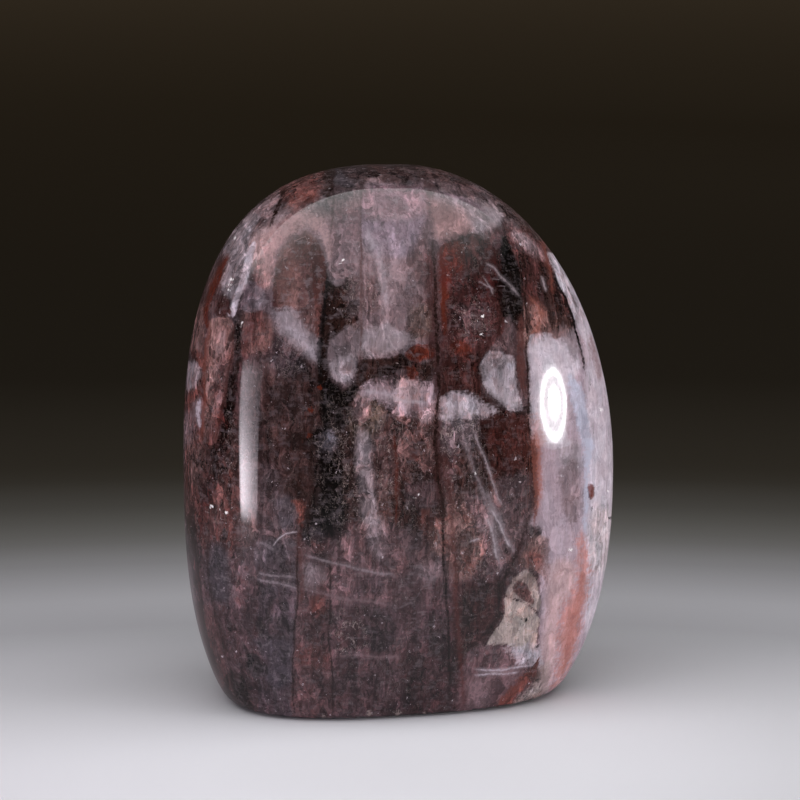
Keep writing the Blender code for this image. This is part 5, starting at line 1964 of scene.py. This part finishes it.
@dataclass(frozen=True)
class Stains(Detail):
    """Rust that has crept into the quartz, and milky mist."""

    fray: float = 0.8
    rust_levels: Span = (0.52, 0.66)
    rust_tint: Colour = (1.25, 0.68, 0.55, 1.0)
    mist_levels: Span = (0.5, 0.72)

    def add(self, at: Reading, colour: Expression) -> Expression:
        """Stains and clouds a colour."""
        graph, veil = at.graph, at.noises["veil"]
        stain = at.noises["broad"][2] + (veil[1] - MIDDLE) * self.fray
        stained = graph.smooth_step(stain, *self.rust_levels) * at.grain["rust"]
        mist = veil[0] + (at.noises["brush"][1] - MIDDLE) * self.fray
        misted = graph.smooth_step(mist, *self.mist_levels) * at.grain["milk"]
        return graph.blend(misted, colour * graph.blend(stained, WHITE, self.rust_tint), Tint.FROST.colour)


@dataclass(frozen=True)
class Crackle(Detail):
    """Nets of pale curls, and fine dark cracks between them."""

    curl_levels: Span = (0.44, 0.58)
    wide_curl: float = 0.022
    narrow_curl: float = 0.014
    curl_core: float = 0.2
    curl_cover: float = 0.85
    lace_gain: float = 0.8
    speckle_gain: float = 0.15
    crack_reach: Span = (0.03, 0.005)
    crack_levels: Span = (0.46, 0.36)
    crack_gain: float = 0.45
    least_cracks: float = 0.03

    def add(self, at: Reading, colour: Expression) -> Expression:
        """Draws the curls and the cracks on a colour."""
        graph, veil, speckle = at.graph, at.noises["veil"], at.grain["speckle"]
        lace = at.grain["lace"] * self.lace_gain + speckle * self.speckle_gain
        cluster = graph.smooth_step(veil[2], *self.curl_levels)
        swirls = ((at.noises["curl"][0], self.wide_curl), (at.noises["wisp"][2], self.narrow_curl))
        for swirl, width in swirls:
            curls = graph.smooth_step(abs(swirl - MIDDLE), width, width * self.curl_core) * cluster * lace
            share = (curls * self.curl_cover).at_most(self.curl_cover)
            colour = graph.blend(share, colour, Tint.CREAM.colour)
        cracks = graph.smooth_step(abs(at.noises["fine"][2] - MIDDLE), *self.crack_reach)
        shown = cracks * graph.smooth_step(veil[2], *self.crack_levels)
        return graph.blend(shown * (speckle * self.crack_gain + self.least_cracks), colour, Tint.BLACK.colour)


@dataclass(frozen=True)
class Grit(Detail):
    """Small round dots of one size: pale ones, which are painted glints off fine cracks, and dark specks.

    The shares are those of glints and of dark specks among all cells where the quartz is most speckled.
    """

    scale: float
    radius: float
    pale_share: float
    dark_share: float
    least_share: float = 0.01
    core: float = 0.4
    pale_cover: float = 0.35
    dark_cover: float = 0.8
    stretch: Stretch = (1.0, 1.0, 0.75)
    fray: float = 1.2

    def add(self, at: Reading, colour: Expression) -> Expression:
        """Strews the painted glints and the dark specks over a colour."""
        graph, speckle = at.graph, at.grain["speckle"]
        shaken = at.place * self.stretch + graph.vector(*at.noises["fine"]) * self.fray
        gap = graph.add("ShaderNodeTexVoronoi", None, {"Vector": shaken, "Scale": self.scale}, "Distance")
        draw, size, other = graph.axes(gap.sibling("Color"))
        dot = graph.smooth_step(gap, size * self.radius, size * self.radius * self.core)
        # painted glints: pale dots that stand in for light glinting off fine cracks
        bright = self.pale_cover + other * (1.0 - self.pale_cover)
        pale = draw.above(1.0 - speckle * self.pale_share - self.least_share) * bright
        dark = (1.0 - draw).above(1.0 - speckle * self.dark_share - self.least_share) * self.dark_cover
        lit = graph.blend(dot * pale, colour, Tint.SNOW.colour)
        return graph.blend(dot * dark, lit, Tint.BLACK.colour)


@dataclass(frozen=True)
class PaintedLines(Detail):
    """The painted veins and threads, worn through in places, each with a soft trail beside it."""

    fray: float = 2.5
    wear_fray: float = 0.8
    wear_levels: Span = (0.3, 0.62)
    worn_cover: float = 0.5
    trail_reach: Span = (3.6, 0.5)
    trail_cover: float = 0.25

    def add(self, at: Reading, colour: Expression) -> Expression:
        """Draws the lines on a colour."""
        graph, fine = at.graph, at.noises["fine"]
        uneven = (fine[1] - MIDDLE) * self.fray
        wear = at.noises["veil"][0] + (fine[2] - MIDDLE) * self.wear_fray
        cover = self.worn_cover + graph.smooth_step(wear, *self.wear_levels) * (1.0 - self.worn_cover)
        for k in range(Canvas.line_layers):
            side, strength, softness = graph.axes(graph.field(f"line_edge_{k}"))
            off = abs(side + uneven)
            core = graph.smooth_step(off, 1.0 + softness, 1.0 - softness) * cover
            trail = graph.smooth_step(off, *self.trail_reach) * self.trail_cover
            colour = graph.blend(core.at_least(trail) * strength, colour, graph.field(f"line_tint_{k}"))
        return colour


@dataclass(frozen=True)
class PaintedSpots(Detail):
    """The painted specks, with frayed edges."""

    fray: float = 4.0
    edge: Span = (1.1, 0.2)

    def add(self, at: Reading, colour: Expression) -> Expression:
        """Sets the specks on a colour."""
        graph = at.graph
        across, along, strength = graph.axes(graph.field("spot_edge"))
        uneven = (at.noises["fine"][0] - MIDDLE) * self.fray
        gap = graph.function("SQRT", across * across + along * along) + uneven
        return graph.blend(graph.smooth_step(gap, *self.edge) * strength, colour, graph.field("spot_tint"))


@dataclass(frozen=True)
class QuartzFinish:
    """Quartz with inclusions under a clear polish."""

    body_roughness: float = 0.35
    polish: float = 0.55
    polish_roughness: float = 0.02
    index: float = 1.54
    details: tuple[Detail, ...] = (
        SharpAreas(),
        Mottling(),
        UprightBands(),
        Stains(),
        Crackle(),
        # the pale dots of both grits are painted glints
        Grit(scale=0.95, radius=0.26, pale_share=0.3, dark_share=0.12),
        Grit(scale=2.2, radius=0.34, pale_share=0.3, dark_share=0.15),
        PaintedLines(),
        PaintedSpots(),
    )

    def build(self) -> bpy.types.Material:
        """Makes the material from the painted fields of the stone."""
        material, graph = new_material("included_quartz")
        place = graph.add("ShaderNodeTexCoord", None, None, "Object") * (1.0 / MM)
        noises = {name: kind.read(graph, place) for name, kind in NOISES.items()}
        strengths = (*graph.axes(graph.field("coarse")), *graph.axes(graph.field("stains")))
        at = Reading(graph, place, noises, dict(zip((*COARSE_GRAIN, *STAIN_GRAIN), strengths)))
        colour = FarMarbling().colour(at)
        for detail in self.details:
            colour = detail.add(at, colour)
        shader = material.node_tree.nodes["Principled BSDF"]
        graph.feed(shader.inputs["Base Color"], colour)
        shader.inputs["Roughness"].default_value = self.body_roughness
        shader.inputs["IOR"].default_value = self.index
        shader.inputs["Specular IOR Level"].default_value = 0.0
        shader.inputs["Coat Weight"].default_value = self.polish
        shader.inputs["Coat Roughness"].default_value = self.polish_roughness
        shader.inputs["Coat IOR"].default_value = self.index
        return material


@dataclass(frozen=True)
class MirroredLight:
    """What the polish mirrors over the face plane: the floor low down, and the softbox under an arched edge.

    Heights and places are in millimetres, and strengths are linear greys.
    """

    floor_strength: float = 0.0155
    floor_heights: Span = (14.0, 34.0)
    softbox_strength: float = 0.1
    softbox_depth: float = 24.0
    softbox_right: Span = (11.0, 22.0)
    arch_top: float = 93.2
    arch_middle: float = -1.0
    arch_width: float = 10.9
    arch_bend: float = 3.4

    def grey(self, u: np.ndarray, v: np.ndarray) -> np.ndarray:
        """Reads the mirrored light.

        Args:
            u: Places to the right on the face plane.
            v: Places upwards.

        Returns:
            A linear grey for each place.
        """
        floor = self.floor_strength * (1.0 - ramp(v, *self.floor_heights))
        below = self.arch_top - (np.abs(u - self.arch_middle) / self.arch_width) ** self.arch_bend - v
        fading = np.clip(1.0 - below / self.softbox_depth, 0.0, 1.0) ** 2 * (below > 0.0)
        return floor + self.softbox_strength * fading * (1.0 - ramp(u, *self.softbox_right))


def wander(points: np.ndarray, length: float) -> np.ndarray:
    """A smooth shift for each point, from -1 to 1 on each axis, that changes over a length in metres."""
    return np.array([noise.noise_vector(Vector(point) / length) for point in points])


@dataclass
class QuartzStone:
    """The polished stone: its form, its markings and its finish.

    Waver is how markings are shaken, each time with a length in metres and a reach in millimetres. On the far
    side, between the two facings, they are shifted by up to the far shift.
    """

    form: StoneForm
    sight: Sight
    waver: tuple[tuple[float, float], ...] = ((4.0 * MM, 0.3), (1.3 * MM, 0.1))
    far_length: float = 18.0 * MM
    far_shift: float = 9.0
    far_facing: float = -0.25
    rim_facing: float = 0.15
    seed: int = 7

    def build(self) -> bpy.types.Object:
        """Makes the stone and sets it in the frame."""
        stone = self.form.build("polished_stone", QuartzFinish().build())
        self.mark(stone.data)
        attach(stone, "root")
        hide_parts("stone")
        return stone

    def mark(self, mesh: bpy.types.Mesh) -> None:
        """Paints the markings, which run on over the far side in a shifted way.

        Args:
            mesh: The stone's mesh.
        """
        points = np.empty(len(mesh.vertices) * 3, dtype=np.float32)
        normals = np.empty_like(points)
        mesh.vertices.foreach_get("co", points)
        mesh.vertices.foreach_get("normal", normals)
        points, normals = points.reshape(-1, 3), normals.reshape(-1, 3)
        hidden = 1.0 - ramp(normals @ np.array(self.sight.back), self.far_facing, self.rim_facing)
        noise.seed_set(self.seed)
        u, v = self.sight.on_plane(points)
        for length, reach in self.waver:
            shift = wander(points, length)
            u, v = u + reach * shift[:, 0], v + reach * shift[:, 2]
        shift = wander(points, self.far_length) * (hidden * self.far_shift)[:, None]
        canvas = Canvas(u + shift[:, 0], v + shift[:, 2])
        for marks in ALL_MARKS:
            canvas.paint(marks)
        canvas.take_off(MirroredLight().grey(canvas.u, canvas.v))
        canvas.store(mesh)
        flat = np.zeros_like(hidden)
        store_field(mesh, "far_side", np.stack([hidden, flat, flat], axis=1))


def main() -> None:
    """Builds the scene and reports each piece."""
    logging.basicConfig(level=logging.INFO, format="%(message)s")
    sight = Sight()
    sight.camera()
    Studio(sight).build()
    stone = QuartzStone(StoneForm.from_frame("stone"), sight).build()
    LOG.info("%s: %d faces", stone.name, len(stone.data.polygons))


if __name__ == "__main__":
    main()
